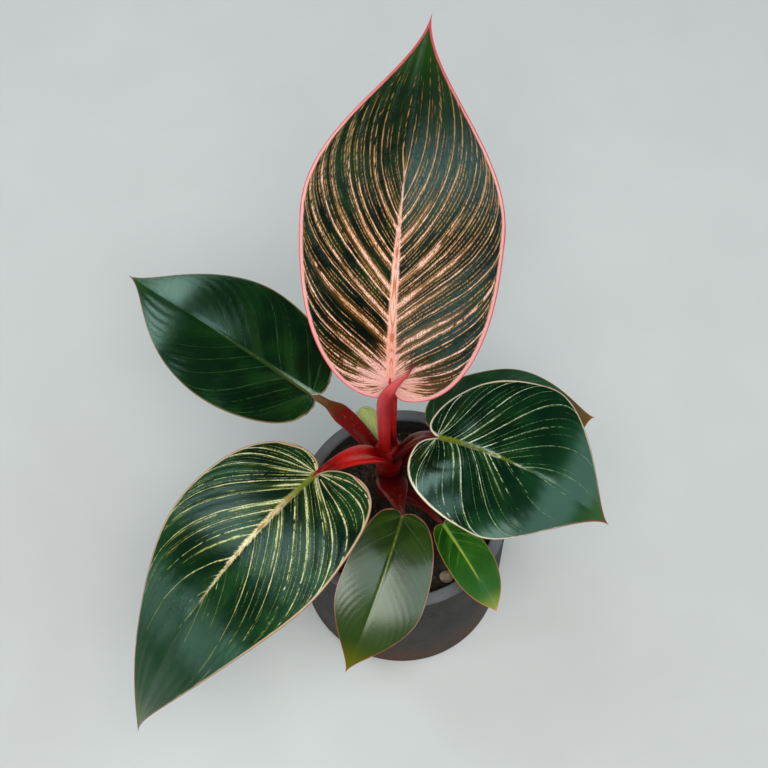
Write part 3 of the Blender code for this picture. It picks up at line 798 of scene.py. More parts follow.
def blade_finish(leaf, look):
    """A waxy blade: dark between the stripes, with a pale midrib and a coloured margin."""
    finish = Finish(leaf.name + "_face", Specular_IOR_Level=look.specular, Specular_Tint=look.wax)
    veins = Veins(finish, look.seed)
    out, way, edge = veins.out, veins.way, veins.edge
    tone = finish.clouds(finish.place(), 70, 3.0)
    grain = veins.brushed(0.35, 3500 * leaf.outline.length, 3.0)
    coarse = veins.brushed(0.12, 900 * leaf.outline.length, 12.0)
    beads = finish.step(veins.spot(veins.travel * 1.7, veins.v * 130, 9.0, 1.0), 0.34, 0.54)
    kept = finish.step(way + 0.2 * (tone - 0.5), look.fade[1], look.fade[0])
    base = finish.step(way, 0.14, -0.04) * look.wash
    sinus = finish.step(veins.travel * 0.05 + way * 4, 1.0, 0.25) * look.wash

    # Rows of fine dashes and dots, between the veins
    dash = veins.stripes(look.fine, 1.0)
    dots = finish.step(veins.patches(dash, 1.6, 4.0), 0.43, 0.53)
    shown = veins.patches(dash, 0.08, 8.0) + 0.35 * (dash.other - 0.5) + 0.6 * (tone - 0.5)
    shown = finish.step(shown + 0.4 * (kept - 1), 0.36, 0.50) * finish.step(edge, 0.8, 1.4)
    half = look.fine_half * (0.5 + 0.6 * dash.chance)
    fine = finish.step(dash.aside, half + 0.12, half - 0.10) * finish.step(dash.apart, 0.3, 0.6)
    fine = fine * shown * (0.15 + 0.85 * dots)

    # Broken lines along the lateral veins, wider where they leave the midrib
    vein = veins.stripes(look.lines, 2.0)
    swell = veins.patches(vein, 0.16, 5.0) - 0.5
    flare = (finish.step(veins.travel, 5.0, 0.0) + base * 0.8 + sinus) * look.flare
    half = look.line_half * (0.35 + 0.8 * vein.chance + 3.0 * swell + flare) * (0.35 + 0.65 * kept)
    half = half * (1.2 - 0.5 * way)
    half = half.math("MAXIMUM", 0.07).math("MINIMUM", vein.apart * (0.12 + 0.25 * look.flare))
    broken = veins.patches(vein, 0.45, 6.0) + 0.28 * (vein.other - 0.5)
    broken = broken + 0.35 * (kept - 1) - 0.10 * out
    line = finish.step(vein.aside + 0.35 * (grain - 0.5), half + 0.16, half - 0.12)
    line = line * finish.step(broken, 0.20, 0.34)

    # A few broad feathered streaks that taper from the midrib, each with a halo
    bold = veins.stripes(look.streaks, 3.0)
    swell = finish.step(veins.patches(bold, 0.11, 7.0), 0.30, 0.62)
    reach = finish.step(out, 0.45 + 0.55 * bold.chance, 0.05)
    reach = reach * finish.step(way, 0.60, 0.15 + 0.3 * bold.chance)
    half = look.streak_half * reach * (0.15 + 0.85 * swell) * (0.4 + 0.6 * bold.other)
    half = half.math("MINIMUM", bold.apart * (0.10 + 0.22 * look.flare))
    frayed = bold.aside + (0.30 + half) * 2.2 * (grain - 0.5)
    streak = finish.step(frayed, half + 0.30, half - 0.30) * finish.step(half, 0.05, 0.15)
    halo = finish.step(bold.aside, half + bold.apart * 0.24, half) * reach

    # The midrib, frayed at its sides, which ends where the last veins leave it
    rib_reach = leaf.outline.rib
    rib_half = look.rib_half * (1.05 - way) * finish.step(way, rib_reach, rib_reach * 0.5)
    rib_side = veins.aside + look.rib_fray * 2 * (grain - 0.5) + 0.3 * (tone - 0.5)
    rib = finish.step(rib_side, rib_half + 0.35, rib_half - 0.25)
    rib = rib * finish.step(rib_half, 0.02, 0.10)

    # The flooded base, and all the pale marks together, beaded and dying away toward the tip
    wash = finish.step(coarse + 0.25 * (grain - 0.5) + 0.30 * (sinus - 0.66), 0.45, 0.57)
    wash = wash * finish.step(sinus, 0.02, 0.25) * 0.95
    pattern = (fine * 0.75).math("MAXIMUM", line).math("MAXIMUM", streak)
    pattern = (pattern * (0.50 + 0.50 * beads) * (0.45 + 0.55 * kept)).math("MAXIMUM", wash)

    # The green between them, then the marks on it
    glowing = finish.step(tone + 0.4 * (grain - 0.5), 0.42, 0.68) * 0.8
    body = finish.mix(glowing, look.body, look.glow)
    body = finish.mix((1 - kept) * 0.7, body, look.glow)
    brown = (halo * 0.7).math("MAXIMUM", (base + sinus) * grain).math("MAXIMUM", line * 0.6)
    body = finish.mix(brown * kept, body, look.halo)
    body = finish.mix(finish.step(way, 0.78, 0.97), body, look.tip)
    bright = pattern * (0.50 + 0.50 * line.math("MAXIMUM", streak))
    bright = bright + 0.9 * (tone - 0.5) - look.gilt * way
    stripe = finish.mix(finish.step(bright, 0.10, 0.80), look.warm, look.pale)
    stripe = finish.mix((base + sinus).math("MINIMUM", 1) * 0.45, stripe, look.margin)
    colour = finish.mix(pattern * finish.step(way, 1.0, 0.90), body, stripe)

    # The midrib's colours
    midrib = finish.mix(finish.step(way, 0.06, 0.20), look.rib_foot, look.rib)
    sheen = finish.clouds(finish.vector(veins.aside * 0.7, way * 16, look.seed + 5), 1.0, 2.0)
    sheen = finish.step(sheen, 0.46, 0.60) * finish.step(way, 0.10, 0.30) * min(1, look.flare * 2.5)
    midrib = finish.mix(sheen, midrib, look.pale)
    colour = finish.mix(rib, colour, midrib)
    flecks = finish.clouds(finish.vector(veins.aside * 1.6, way * 34, look.seed), 1.0, 3.0)
    core = finish.step(veins.aside, rib_half, rib_half * 0.2) * finish.step(flecks, 0.46, 0.60)
    colour = finish.mix(core * rib * 0.9, colour, look.core)

    # The margin's band, its thin deeper edge and the point
    uneven = finish.clouds(finish.place(), 240, 2.0) - 0.5
    band = look.band * (1 + 0.9 * uneven) * (0.35 + 0.65 * finish.step(way, look.slim, 0.1))
    margin = finish.mix(finish.step(way, 0.60, 0.95), look.margin, look.rim)
    frayed = edge + 0.9 * (grain - 0.5) + 0.5 * uneven
    colour = finish.mix(finish.step(frayed, band + 0.30, band - 0.20), colour, margin)
    colour = finish.mix(finish.step(edge, 0.3 * band + 0.16, 0.02), colour, look.rim)
    colour = finish.mix(finish.step(way, 0.95, 0.995), colour, look.rim)

    height = grain * 0.5 + pattern * 0.3 + beads * 0.25
    roughness = look.roughness + 0.08 * pattern + 0.12 * (tone - 0.5)
    finish.wear(colour, roughness, height, 0.004 * leaf.outline.length**2)
    return finish


def underside_finish(name, body, vein, margin, seed):
    """The blade's matt underside, paler than its face, with its veins showing as fine lines."""
    finish = Finish(name)
    veins = Veins(finish, seed)
    lateral = veins.stripes(24, 2.0)
    line = finish.step(lateral.aside, 0.28, 0.08) * (0.35 + 0.4 * lateral.chance)
    broad = veins.stripes(9, 3.0)
    through = finish.step(broad.aside, 1.1, 0.1) * broad.chance * finish.step(veins.way, 0.75, 0.1)
    through = through * finish.step(veins.patches(broad, 0.1, 7.0), 0.35, 0.6)
    tone = finish.clouds(finish.place(), 80, 3.0)
    colour = finish.mix(line + 0.4 * through + 0.35 * (tone - 0.5), body, vein)
    colour = finish.mix(finish.step(veins.edge + tone, 2.2, 0.6), colour, margin)
    finish.wear(colour, 0.5, line + veins.brushed(6, 120, 2.0) * 0.4, 0.00025)
    return finish


def blade(leaf, look, underside):
    """A leaf's blade: its face on the solid's upper face, with a paler underside below."""
    finishes = [blade_finish(leaf, look), underside]
    piece(leaf.name + "_face", blade_mesh(leaf), finishes, [leaf.name + "_blade"])


# Petioles
# Each leaf stands on its own petiole, a fleshy stalk whose foot is a broad channelled sheath
# round the stem. It runs on under the blade as the raised back of the midrib.

STEM_TOP_Z = 0.112
FOOT_REACH = 0.0012
FOOT_SUNK = 0.002
RIB_DROP = 0.00105
RIB_RISE = 0.00035
RIB_END = 0.97
STALK_SHARE = 0.5
STALK_SIDES = 28
STALK_RINGS = 150
JUICY = {"Specular_IOR_Level": 0.4, "Specular_Tint": (1, 0.55, 0.5, 1)}


def sheet(columns, rows, place):
    """A grid moved by a rule: place(u, v) gives a point for u and v from 0 to 1. Its attributes
    say how far along a point is, and how far from the middle."""
    bm = bmesh.new()
    bmesh.ops.create_grid(bm, x_segments=columns, y_segments=rows, size=0.5)
    along = bm.verts.layers.float.new("along")
    across = bm.verts.layers.float.new("across")
    for vert in bm.verts:
        vert[along] = vert.co.y + 0.5
        vert[across] = abs(vert.co.x) * 2
        vert.co = place(vert.co.x + 0.5, vert.co.y + 0.5)
    bmesh.ops.remove_doubles(bm, verts=bm.verts, dist=2 * WELD)
    return bm


def petiole_mesh(leaf):
    """A tube from inside the stem to the blade, and on under the midrib to near its tip."""
    petiole, rib = leaf.petiole, Midrib(leaf)
    end = np.array(leaf.base) - rib.along[0] * GAP - rib.up[0] * RIB_DROP
    if petiole.foot > STEM_TOP_Z:
        foot = np.array((petiole.leave[0], STEM_Y, petiole.foot - FOOT_SUNK))
    else:
        foot = np.array((STEM_X, STEM_Y, petiole.foot))
        foot = foot + direction(petiole.bearing, 0) * FOOT_REACH
    controls = (foot, np.array(petiole.leave), np.array(petiole.arrive), end)

    def centre(v):
        if v < STALK_SHARE:
            return cubic(*controls, v / STALK_SHARE)
        on = (v - STALK_SHARE) / (1 - STALK_SHARE)
        lift = RIB_RISE * on - RIB_DROP
        return rib.place(np.zeros(1), np.array([on * RIB_END * rib.length]), np.array([lift]))[0]

    def place(u, v):
        point = centre(v)
        along = unit(centre(min(v + 0.006, 1)) - centre(max(v - 0.006, 0)))
        on = max(v - STALK_SHARE, 0) / (1 - STALK_SHARE)
        t = min(v / STALK_SHARE, 1)
        bearing = petiole.bearing + (leaf.midline.heading - petiole.bearing) * t
        side = direction(bearing - 90, 0)
        if on > 0:
            near = min(on / 0.1, 1)
            side = unit(side * (1 - near) + read(rib.across, rib.shares, np.array([on]))[0] * near)
        across = unit(side - along * side.dot(along))
        up = np.cross(across, along)
        narrowing = blend(*petiole.taper, t)
        end_share = blend(0.8, 1, t)
        boat = petiole.sheath * (0.8 + 0.2 * blend(0, petiole.taper[0], t))
        half_width = (boat + (petiole.stalk - boat) * narrowing) * (1 - 0.15 * end_share)
        half_height = petiole.stalk * (1 - 0.45 * end_share)
        shrink = (1 - blend(0, 0.06, on) * 0.45) * (1 - 0.92 * on)
        angle = 2 * pi * u
        height = half_height * sin(angle) * shrink
        if height > 0:
            height *= 1 - (1.3 - narrowing) * (1 - abs(cos(angle)))
        return point + across * half_width * cos(angle) * shrink + up * height

    bm = sheet(STALK_SIDES, STALK_RINGS, place)
    ends = [edge for edge in bm.edges if edge.is_boundary]
    bmesh.ops.holes_fill(bm, edges=ends, sides=0)
    bmesh.ops.recalc_face_normals(bm, faces=bm.faces)
    return bm


def petiole_finish(name, foot, sheath, stalk, rib):
    """Juicy red tissue, streaked along its length, that greens toward the blade."""
    finish = Finish(name, **JUICY)
    at = finish.place()
    along, across = finish.attribute("along"), finish.attribute("across")
    streaky = finish.clouds(finish.vector(across * 9, along * 14, 1.0), 1.0, 3.0)
    speckled = finish.clouds(at, 700, 2.0)
    broad = finish.clouds(at, 120, 2.0)
    reached = along + 0.10 * (broad - 0.5) + 0.06 * (streaky - 0.5)
    colour = finish.mix(finish.step(reached, 0.05, 0.22), foot, sheath)
    colour = finish.mix(finish.step(reached, 0.30, 0.46), colour, stalk)
    colour = finish.mix(finish.step(along, 0.49, 0.54), colour, rib)
    colour = finish.mix(finish.step(streaky, 0.44, 0.70) * 0.5, colour, foot)
    colour = finish.mix(finish.step(speckled, 0.60, 0.72) * 0.2, colour, rib)
    finish.wear(colour, 0.30 + 0.14 * streaky, streaky + speckled * 0.2, 0.0003)
    return finish


def petiole(leaf, finish):
    piece(leaf.name + "_stalk", petiole_mesh(leaf), [finish], [leaf.name + "_petiole"])


# Newest leaf
# The largest leaf, just opened, held up and away on an upright petiole. Its stripes and midrib
# are salmon to cream, its margin is broad and pink, and its green is almost black.

newest = Leaf(
    name="newest_leaf",
    base=(-0.0049, 0.0085, 0.1650),
    midline=Midline(heading=89, sweep=-13, rise=48.5, droop=20.5, roll=15, twist=5),
    outline=Outline(
        length=0.119, left=0.0325, right=0.0365, widest=0.46,
        lobe=0.0058, notch=0.13, shoulder=0.42, point=0.29, rib=0.62, veins=44,
    ),
    form=Form(fold=0.09, cup=-0.05, wave=0.0006),
    petiole=Petiole(
        foot=0.1123, bearing=89, leave=(-0.0049, 0.0076, 0.130),
        arrive=(-0.0047, 0.0044, 0.152), sheath=0.0024, taper=(0.05, 0.4), stalk=0.0020,
    ),
    rows=200,
)
newest_look = Look(
    body=paint(6, 14, 7), glow=paint(24, 46, 14), tip=paint(34, 66, 14), halo=paint(116, 72, 20),
    pale=paint(252, 200, 182), warm=paint(206, 146, 88), margin=paint(240, 166, 160),
    rim=paint(204, 70, 82), rib_foot=paint(246, 170, 154), rib=paint(246, 182, 160),
    core=paint(202, 104, 48),
    fine=60, fine_half=0.17, lines=15, line_half=0.20, streaks=9, streak_half=0.85,
    flare=1.0, gilt=0.8, wash=0.9, rib_half=1.55, rib_fray=0.9, band=1.25, slim=1.3,
    fade=(0.45, 0.98), roughness=0.18, specular=0.32, seed=2.0,
)
young_underside = underside_finish(
    "young_underside", paint(150, 156, 98), paint(226, 164, 138), paint(214, 110, 110), 3.0
)
blade(newest, newest_look, young_underside)
scarlet = petiole_finish(
    "scarlet_petiole", paint(126, 2, 4), paint(198, 6, 4), paint(204, 16, 14), paint(222, 140, 120)
)
petiole(newest, scarlet)

# Left upper leaf
# An older leaf, dark green all over with hardly a stripe, held low and level to the left rear.

left_upper = Leaf(
    name="left_upper_leaf",
    base=(-0.0325, 0.0241, 0.1220),
    midline=Midline(heading=147.5, sweep=-8, rise=11.5, droop=31, roll=2, twist=2),
    outline=Outline(
        length=0.088, left=0.024, right=0.0245, widest=0.36,
        lobe=0.0030, notch=0.16, shoulder=0.51, point=0.22, rib=0.70, veins=42,
    ),
    form=Form(fold=0.12, cup=0.10, wave=0.0008),
    petiole=Petiole(
        foot=0.0920, bearing=150, leave=(-0.0115, 0.0140, 0.1040),
        arrive=(-0.0235, 0.0215, 0.1180), sheath=0.0036, taper=(0.64, 0.85), stalk=0.0015,
    ),
    rows=130,
)
left_upper_look = Look(
    body=paint(4, 24, 6), glow=paint(12, 48, 12), tip=paint(44, 76, 36), halo=paint(30, 60, 22),
    pale=paint(44, 76, 36), warm=paint(28, 58, 24), margin=paint(120, 112, 74),
    rim=paint(160, 112, 92), rib_foot=paint(78, 80, 34), rib=paint(40, 64, 26),
    core=paint(60, 76, 30),
    fine=30, fine_half=0.10, lines=9, line_half=0.15, rib_half=0.8, rib_fray=0.3, band=0.35,
    roughness=0.13, specular=0.5, seed=5.0,
)
green_underside = underside_finish(
    "green_underside", paint(104, 136, 76), paint(152, 170, 112), paint(150, 120, 96), 5.0
)
blade(left_upper, left_upper_look, green_underside)
olive = petiole_finish(
    "olive_petiole", paint(92, 6, 8), paint(112, 14, 12), paint(92, 66, 26), paint(120, 136, 72)
)
petiole(left_upper, olive)

# Left lower leaf
# A mature leaf that bends down over the pot's edge at the front left. Cream stripes fan out
# from its base and die away toward the tip.

left_lower = Leaf(
    name="left_lower_leaf",
    base=(-0.0296, -0.0124, 0.1380),
    midline=Midline(heading=228, sweep=4, rise=18, droop=95, roll=-18, twist=2),
    outline=Outline(
        length=0.126, left=0.0335, right=0.0335, widest=0.24,
        lobe=0.0062, notch=0.33, shoulder=0.29, point=0.24, rib=0.52, veins=44,
    ),
    form=Form(fold=0.11, cup=0.12, wave=0.0010),
    petiole=Petiole(
        foot=0.1000, bearing=222, leave=(-0.0105, 0.0035, 0.1220),
        arrive=(-0.0195, -0.0040, 0.1345), sheath=0.0046, taper=(0.30, 1.0), stalk=0.0021,
    ),
    rows=180,
)
left_lower_look = Look(
    body=paint(5, 26, 10), glow=paint(26, 66, 30), tip=paint(84, 104, 50), halo=paint(40, 66, 16),
    pale=paint(234, 224, 172), warm=paint(150, 156, 74), margin=paint(204, 176, 136),
    rim=paint(150, 88, 70), rib_foot=paint(104, 116, 34), rib=paint(226, 202, 156),
    core=paint(158, 112, 44),
    fine=40, fine_half=0.12, lines=12, line_half=0.15, streaks=5, streak_half=0.5,
    flare=0.4, wash=0.1, rib_half=1.1, rib_fray=1.5, band=0.70, slim=0.8, fade=(0.20, 0.76),
    roughness=0.18, specular=0.4, seed=11.0,
)
blade(left_lower, left_lower_look, green_underside)
crimson = petiole_finish(
    "crimson_petiole", paint(150, 2, 2), paint(200, 8, 4), paint(112, 10, 8), paint(128, 134, 70)
)
petiole(left_lower, crimson)

# Right leaf
# A mature leaf held high over the pot's right side. It has fewer and thinner cream stripes, and
# a cream margin round its base.

right = Leaf(
    name="right_leaf",
    base=(0.0104, -0.0025, 0.1460),
    midline=Midline(heading=332, sweep=-2, rise=34.5, droop=70, roll=3.5, twist=-13),
    outline=Outline(
        length=0.068, left=0.0305, right=0.0275, widest=0.43,
        lobe=0.0060, notch=0.21, shoulder=0.38, point=0.245, rib=0.62, veins=37,
    ),
    form=Form(fold=0.10, cup=0.16, wave=0.0005),
    petiole=Petiole(
        foot=0.0980, bearing=332, leave=(-0.0006, 0.0060, 0.1200),
        arrive=(0.0045, 0.0022, 0.1380), sheath=0.0034, taper=(0.35, 0.95), stalk=0.0021,
    ),
    rows=150,
)
right_look = Look(
    body=paint(5, 28, 12), glow=paint(14, 56, 26), tip=paint(60, 90, 48), halo=paint(30, 58, 20),
    pale=paint(222, 226, 198), warm=paint(128, 150, 100), margin=paint(228, 220, 190),
    rim=paint(138, 62, 52), rib_foot=paint(112, 122, 34), rib=paint(84, 98, 28),
    core=paint(104, 100, 30),
    fine=22, fine_half=0.09, lines=7, line_half=0.12, streak_half=0.35, flare=0.2,
    rib_half=0.9, rib_fray=0.6, band=0.78, slim=0.45, fade=(0.25, 0.95),
    roughness=0.16, specular=0.36, seed=17.0,
)
blade(right, right_look, green_underside)
# Painted shade: these petioles get a darker maroon, partly their own deeper red and partly shade
# painted in.
maroon = petiole_finish(
    "shaded_maroon_petiole", paint(60, 2, 4), paint(94, 4, 6), paint(84, 12, 11), paint(124, 132, 72)
)
petiole(right, maroon)

# Back leaf
# A plain dark leaf on a low petiole, most of it under the right leaf. Its point is brown with
# age.

back = Leaf(
    name="back_leaf",
    base=(0.0113, 0.0172, 0.1067),
    midline=Midline(heading=8, sweep=4, rise=3, droop=30, roll=-2, twist=-6),
    outline=Outline(
        length=0.063, left=0.0205, right=0.022, widest=0.42,
        lobe=0.0030, notch=0.20, shoulder=0.60, point=0.18, rib=0.70, veins=42,
    ),
    form=Form(fold=0.10, cup=0.11, wave=0.0007),
    petiole=Petiole(
        foot=0.0800, bearing=20, leave=(0.0015, 0.0120, 0.0940),
        arrive=(0.0055, 0.0142, 0.1030), sheath=0.0028, taper=(0.4, 0.8), stalk=0.0015,
    ),
    rows=110,
)
back_look = Look(
    body=paint(10, 36, 12), glow=paint(24, 62, 20), tip=paint(112, 76, 30), halo=paint(30, 60, 22),
    pale=paint(64, 96, 50), warm=paint(44, 76, 32), margin=paint(96, 96, 52),
    rim=paint(166, 98, 54), rib_foot=paint(76, 96, 34), rib=paint(56, 84, 32),
    core=paint(60, 80, 30),
    fine=24, fine_half=0.10, lines=7, line_half=0.15, rib_half=0.7, rib_fray=0.3, band=0.3,
    roughness=0.34, specular=0.5, seed=23.0,
)
blade(back, back_look, green_underside)
petiole(back, maroon)

# Front leaf
# A glossy grey-green leaf with hardly a stripe that hangs over the front of the pot, with a
# thin brown-pink margin and an orange point. Its petiole is nearly all sheath.

front = Leaf(
    name="front_leaf",
    base=(-0.0006, -0.0142, 0.1018),
    midline=Midline(heading=255.5, sweep=-14, rise=0.5, droop=37, roll=14, twist=4),
    outline=Outline(
        length=0.060, left=0.0175, right=0.0145, widest=0.50,
        lobe=0.0018, notch=0.23, shoulder=0.47, point=0.22, rib=0.80, veins=40,
    ),
    form=Form(fold=0.10, cup=0.08, wave=0.0003),
    petiole=Petiole(
        foot=0.0870, bearing=278, leave=(-0.0046, 0.0010, 0.0985),
        arrive=(-0.0022, -0.0070, 0.1025), sheath=0.0058, taper=(0.30, 1.0), stalk=0.0016,
    ),
    rows=120,
)
front_look = Look(
    body=paint(28, 50, 12), glow=paint(50, 74, 18), tip=paint(104, 104, 20), halo=paint(60, 84, 22),
    pale=paint(60, 84, 40), warm=paint(46, 70, 28), margin=paint(142, 108, 80),
    rim=paint(176, 92, 62), rib_foot=paint(72, 92, 34), rib=paint(84, 102, 36),
    core=paint(120, 130, 50),
    fine=24, fine_half=0.10, lines=7, line_half=0.14, rib_half=0.45, rib_fray=0.3, band=0.30,
    roughness=0.20, specular=0.5, wax=(0.92, 1.0, 0.90, 1), seed=29.0,
)
blade(front, front_look, green_underside)
petiole(front, maroon)

# Small front leaf
# The smallest leaf, bright green with a yellow-green midrib and an orange point, low over the
# pot's rim on a thin petiole.

small_front = Leaf(
    name="small_front_leaf",
    base=(0.0145, -0.0123, 0.0880),
    midline=Midline(heading=302, sweep=-4, rise=5, droop=16, roll=1, twist=0),
    outline=Outline(
        length=0.0375, left=0.0092, right=0.0078, widest=0.44,
        lobe=0.0008, notch=0.30, shoulder=0.72, point=0.08, rib=0.80, veins=38,
    ),
    form=Form(fold=0.10, cup=0.09, wave=0.0003),
    petiole=Petiole(
        foot=0.0735, bearing=318, leave=(0.0015, 0.0020, 0.0830),
        arrive=(0.0080, -0.0055, 0.0885), sheath=0.0028, taper=(0.3, 0.8), stalk=0.0011,
    ),
    rows=90,
)
small_look = Look(
    body=paint(16, 62, 4), glow=paint(42, 94, 8), tip=paint(124, 132, 16), halo=paint(64, 112, 14),
    pale=paint(96, 142, 36), warm=paint(66, 116, 24), margin=paint(86, 126, 36),
    rim=paint(206, 122, 50), rib_foot=paint(140, 172, 56), rib=paint(156, 178, 60),
    core=paint(150, 170, 60),
    fine=18, fine_half=0.10, lines=6, line_half=0.12, rib_half=0.5, rib_fray=0.2, band=0.25,
    roughness=0.32, specular=0.4, seed=31.0,
)
blade(small_front, small_look, green_underside)
petiole(small_front, maroon)

# Stem
# A short fleshy stem, wrapped by the feet of the petioles, with low rings where older leaves
# stood. It goes down into a plain hole in the soil.

STEM_FOOT_Z = 0.044
STEM_DOME = 0.0009
STEM_FOOT_RADIUS = 0.0052
STEM_TOP_RADIUS = 0.0043
STEM_JOINTS = 6
STEM_JOINT_BULGE = 0.0005
STEM_UNEVEN = 0.00018
STEM_SIDES = 64


def stem_mesh():
    """Turned from a side with a ring at each joint, then made a little uneven."""
    count = STEM_JOINTS * 12
    side = []
    for i in range(count + 1):
        share = i / count
        radius = STEM_TOP_RADIUS + (STEM_FOOT_RADIUS - STEM_TOP_RADIUS) * share
        ring = STEM_JOINT_BULGE * max(0, cos(2 * pi * (share * STEM_JOINTS - 0.33))) ** 6
        dome = (1 - blend(0, 0.03, share)) * STEM_DOME
        side.append((radius + ring - dome, STEM_TOP_Z + (STEM_FOOT_Z - STEM_TOP_Z) * share))
    top, foot = side[0], side[-1]
    bm = turned([(0, top[1]), (top[0] * 0.6, top[1]), *side, (0, foot[1])], STEM_SIDES)
    for vert in bm.verts:
        at = Vector((vert.co.x * 300, vert.co.y * 300, vert.co.z * 90))
        bump = STEM_UNEVEN * noise.noise(at)
        vert.co.x += vert.co.x / STEM_FOOT_RADIUS * bump
        vert.co.y += vert.co.y / STEM_FOOT_RADIUS * bump
    bmesh.ops.translate(bm, verts=bm.verts, vec=(STEM_X, STEM_Y, 0))
    return bm


def stem_finish():
    """Brown-red below and deep red above, streaked, with corky scars."""
    finish = Finish("maroon_stem", **JUICY)
    at = finish.place()
    x, y, z = finish.split(at)
    streaky = finish.clouds(finish.vector(x * 500, y * 500, z * 90), 1.0, 3.0)
    height = finish.step(z, 0.078, 0.104)
    colour = finish.mix(height, paint(84, 26, 18), paint(134, 4, 4))
    scar = finish.step(finish.clouds(finish.vector(x * 60, y * 60, z * 900), 1.0, 2.0), 0.60, 0.68)
    colour = finish.mix(scar * (1 - height) * 0.7, colour, paint(146, 112, 78))
    colour = finish.mix(streaky * 0.4, colour, paint(70, 10, 14))
    finish.wear(colour, 0.45, streaky, 0.0003)
    return finish


piece("crown_stem", stem_mesh(), [stem_finish()], ["stem"])

# Red sheath
# The papery sheath that the newest leaf came out of. It still stands in front of the petiole,
# open at the back, and its dry point curls over the leaf's base to the right.

SHEATH_RADIUS = 0.0023
SHEATH_THICKNESS = 0.0006
SHEATH_FRONT = (232, 268)
SHEATH_WRAP = 180
SHEATH_CURL = 0.60
SHEATH_COLUMNS = 28
SHEATH_ROWS = 90
SHEATH_ROUTE = (
    (-0.0068, 0.0076, 0.1120),
    (-0.0072, 0.0056, 0.1320),
    (-0.0072, 0.0044, 0.1500),
    (-0.0067, 0.0034, 0.1615),
    (-0.0052, 0.0036, 0.1690),
    (-0.0026, 0.0048, 0.1735),
    (0.0002, 0.0059, 0.1768),
    (0.0024, 0.0078, 0.1805),
)


def on_route(route, share):
    """A point on a smooth curve through the route's points."""
    points = [np.array(point) for point in route]
    ends = [2 * points[0] - points[1], *points, 2 * points[-1] - points[-2]]
    place = min(share, 0.9999) * (len(points) - 1)
    k = int(place)
    a, b, c, d = ends[k : k + 4]
    return cubic(b, b + (c - a) / 6, c - (d - b) / 6, c, place - k)


def sheath_place(u, v):
    """A half tube round the route, which narrows to its dry point."""
    point = on_route(SHEATH_ROUTE, v)
    ahead, behind = min(v + 0.01, 1), max(v - 0.01, 0)
    along = unit(on_route(SHEATH_ROUTE, ahead) - on_route(SHEATH_ROUTE, behind))
    low, high = SHEATH_FRONT
    facing = direction(low + (high - low) * blend(0.1, 0.4, v), 0)
    front_side = unit(facing - along * facing.dot(along))
    side = np.cross(along, front_side)
    narrow = 1 - 0.96 * blend(SHEATH_CURL - 0.25, 1.02, v)
    angle = radians(SHEATH_WRAP) * (u - 0.5)
    wrapped = side * sin(angle) + front_side * (cos(angle) - 0.3) * 0.9
    return point + wrapped * SHEATH_RADIUS * narrow


def sheath_finish():
    """Bright red below and dusty pink above, ribbed, with dark edges, a dry point and painted shade
    down its right side.
    """
    finish = Finish("red_sheath", Specular_IOR_Level=0.4)
    at = finish.place()
    along, across = finish.attribute("along"), finish.attribute("across")
    ribs = finish.clouds(finish.vector(across * 8, along * 5, 3.0), 1.0, 2.0)
    x = finish.split(at)[0]
    patchy = finish.clouds(at, 260, 3.0) - 0.5
    reached = along + 0.2 * patchy
    colour = finish.mix(finish.step(reached, 0.0, 0.40), paint(184, 14, 16), paint(222, 62, 72))
    colour = finish.mix(finish.step(reached, 0.45, 0.75), colour, paint(214, 84, 84))
    colour = finish.mix(finish.step(along, 0.84, 0.98), colour, paint(104, 14, 16))
    colour = finish.mix(finish.step(ribs, 0.45, 0.70) * 0.5, colour, paint(176, 18, 26))
    # Painted shade: the lower part's right side is painted a deeper red, so its left side reads as
    # lit.
    fold = finish.step(x, -0.0072, -0.0056) * finish.step(along, 0.62, 0.52)
    colour = finish.mix(fold * 0.8, colour, paint(180, 10, 14))
    colour = finish.mix(finish.step(across, 0.86, 1.0) * 0.7, colour, paint(130, 16, 20))
    finish.wear(colour, 0.42, ribs, 0.0002)
    return finish


def thicken(obj, thickness):
    """Gives a sheet its thickness, half of it to each side."""
    wall = obj.modifiers.new("thickness", "SOLIDIFY")
    wall.thickness = thickness
    wall.offset = 0


sheath_sheet = sheet(SHEATH_COLUMNS, SHEATH_ROWS, sheath_place)
sheath = piece(
    "curled_sheath", sheath_sheet, [sheath_finish()], ["newest_leaf_sheath"]
)
thicken(sheath, SHEATH_THICKNESS)

# Pale bract
# A blunt, boat-shaped bract behind the crown, soft and pale yellow-green, that wrapped an
# earlier leaf.

BRACT_BASE = (-0.0072, 0.0125, 0.0850)
BRACT_LENGTH = 0.0245
BRACT_HALF_WIDTH = 0.0044
BRACT_HEADING = 118
BRACT_RISE = 56
BRACT_DROOP = 11
BRACT_THICKNESS = 0.0007
BRACT_COLUMNS = 20
BRACT_ROWS = 50


def bract_place(u, v):
    """A shallow trough that widens to a blunt end."""
    along = direction(BRACT_HEADING, BRACT_RISE - BRACT_DROOP * v)
    side = direction(BRACT_HEADING - 90, 0)
    up = np.cross(side, along)
    wide = BRACT_HALF_WIDTH * max(0.02, (0.28 + v) * (1 - v**8) ** 0.5)
    hollow = (2 * u - 1) ** 2 * wide * 0.45
    return np.array(BRACT_BASE) + along * BRACT_LENGTH * v + side * (2 * u - 1) * wide + up * hollow


def bract_finish():
    """Soft pale tissue, greener at its foot and along its veins."""
    finish = Finish("pale_bract")
    at = finish.place()
    along = finish.attribute("along")
    soft = finish.clouds(at, 260, 3.0)
    veined = finish.clouds(finish.vector(finish.attribute("across") * 7, along * 4, 5.0), 1.0, 2.0)
    reached = finish.step(along + 0.2 * (soft - 0.5), 0.1, 0.8)
    colour = finish.mix(reached, paint(146, 160, 74), paint(188, 200, 122))
    colour = finish.mix(finish.step(veined, 0.45, 0.68) * 0.5, colour, paint(140, 162, 84))
    finish.wear(colour, 0.45 + 0.1 * soft, soft, 0.0002)
    return finish


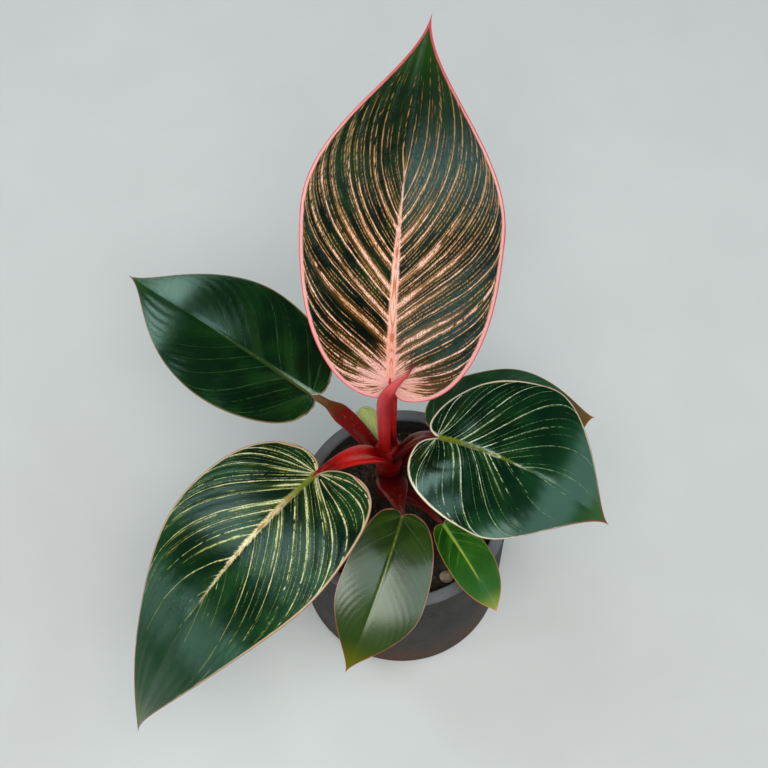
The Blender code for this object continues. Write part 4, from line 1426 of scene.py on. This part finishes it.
bract_sheet = sheet(BRACT_COLUMNS, BRACT_ROWS, bract_place)
bract = piece("crown_bract", bract_sheet, [bract_finish()], ["pale_bract"])
thicken(bract, BRACT_THICKNESS)

# Floor and lights
# A plain pale floor under soft lights: a key above the viewer, a broad cool one over the right,
# and small cool ones round the left side, whose reflections give the blades their gloss.

PLANT_MIDDLE = (0, 0, 0.12)
FLOOR_HALF = 3
WARM = (1.0, 0.985, 0.96)
COOL = (0.84, 0.94, 1.0)


def lamp(name, bearing, rise, size, power, colour, far=1.1):
    """A soft rectangular light, so far from the plant's middle in this direction, facing it."""
    light = bpy.data.lights.new(name, "AREA")
    light.shape = "RECTANGLE"
    light.size, light.size_y = size
    light.energy = power
    light.color = colour
    obj = bpy.data.objects.new(name, light)
    toward = Vector(direction(bearing, rise))
    obj.location = Vector(PLANT_MIDDLE) + far * toward
    obj.rotation_euler = toward.to_track_quat("Z", "Y").to_euler()
    bpy.context.scene.collection.objects.link(obj)


bm = bmesh.new()
bmesh.ops.create_grid(bm, x_segments=4, y_segments=4, size=FLOOR_HALF)
ground = bpy.data.meshes.new("floor")
bm.to_mesh(ground)
bm.free()
pale = Finish("pale_floor")
speck = pale.clouds(pale.place(), 30, 3.0)
pale.wear(pale.mix(speck, paint(206, 206, 204), paint(214, 214, 212)), 0.8, speck, 0.0001)
ground.materials.append(pale.material)
floor = bpy.data.objects.new("floor", ground)
bpy.context.scene.collection.objects.link(floor)

lamp("key", 272, 66, (0.60, 0.60), 9.5, WARM, far=1.2)
lamp("left_front", 198, 31, (0.26, 0.14), 1.3, COOL)
lamp("left_low", 220, 16, (0.18, 0.11), 0.6, COOL)
lamp("left_side", 185, 9, (0.50, 0.32), 1.2, (0.80, 0.96, 0.97))
lamp("left_back", 138, 38, (0.42, 0.24), 2.2, (0.86, 0.97, 0.97))
lamp("left_high", 154, 56, (0.24, 0.24), 0.8, COOL)
lamp("right_high", 350, 57, (1.10, 0.46), 5.6, (0.82, 0.95, 0.98))
world = bpy.data.worlds.new("studio")
world.use_nodes = True
sky = world.node_tree.nodes["Background"]
sky.inputs["Color"].default_value = (0.75, 0.78, 0.82, 1)
sky.inputs["Strength"].default_value = 0.09
bpy.context.scene.world = world
bpy.context.scene.view_settings.view_transform = "Standard"
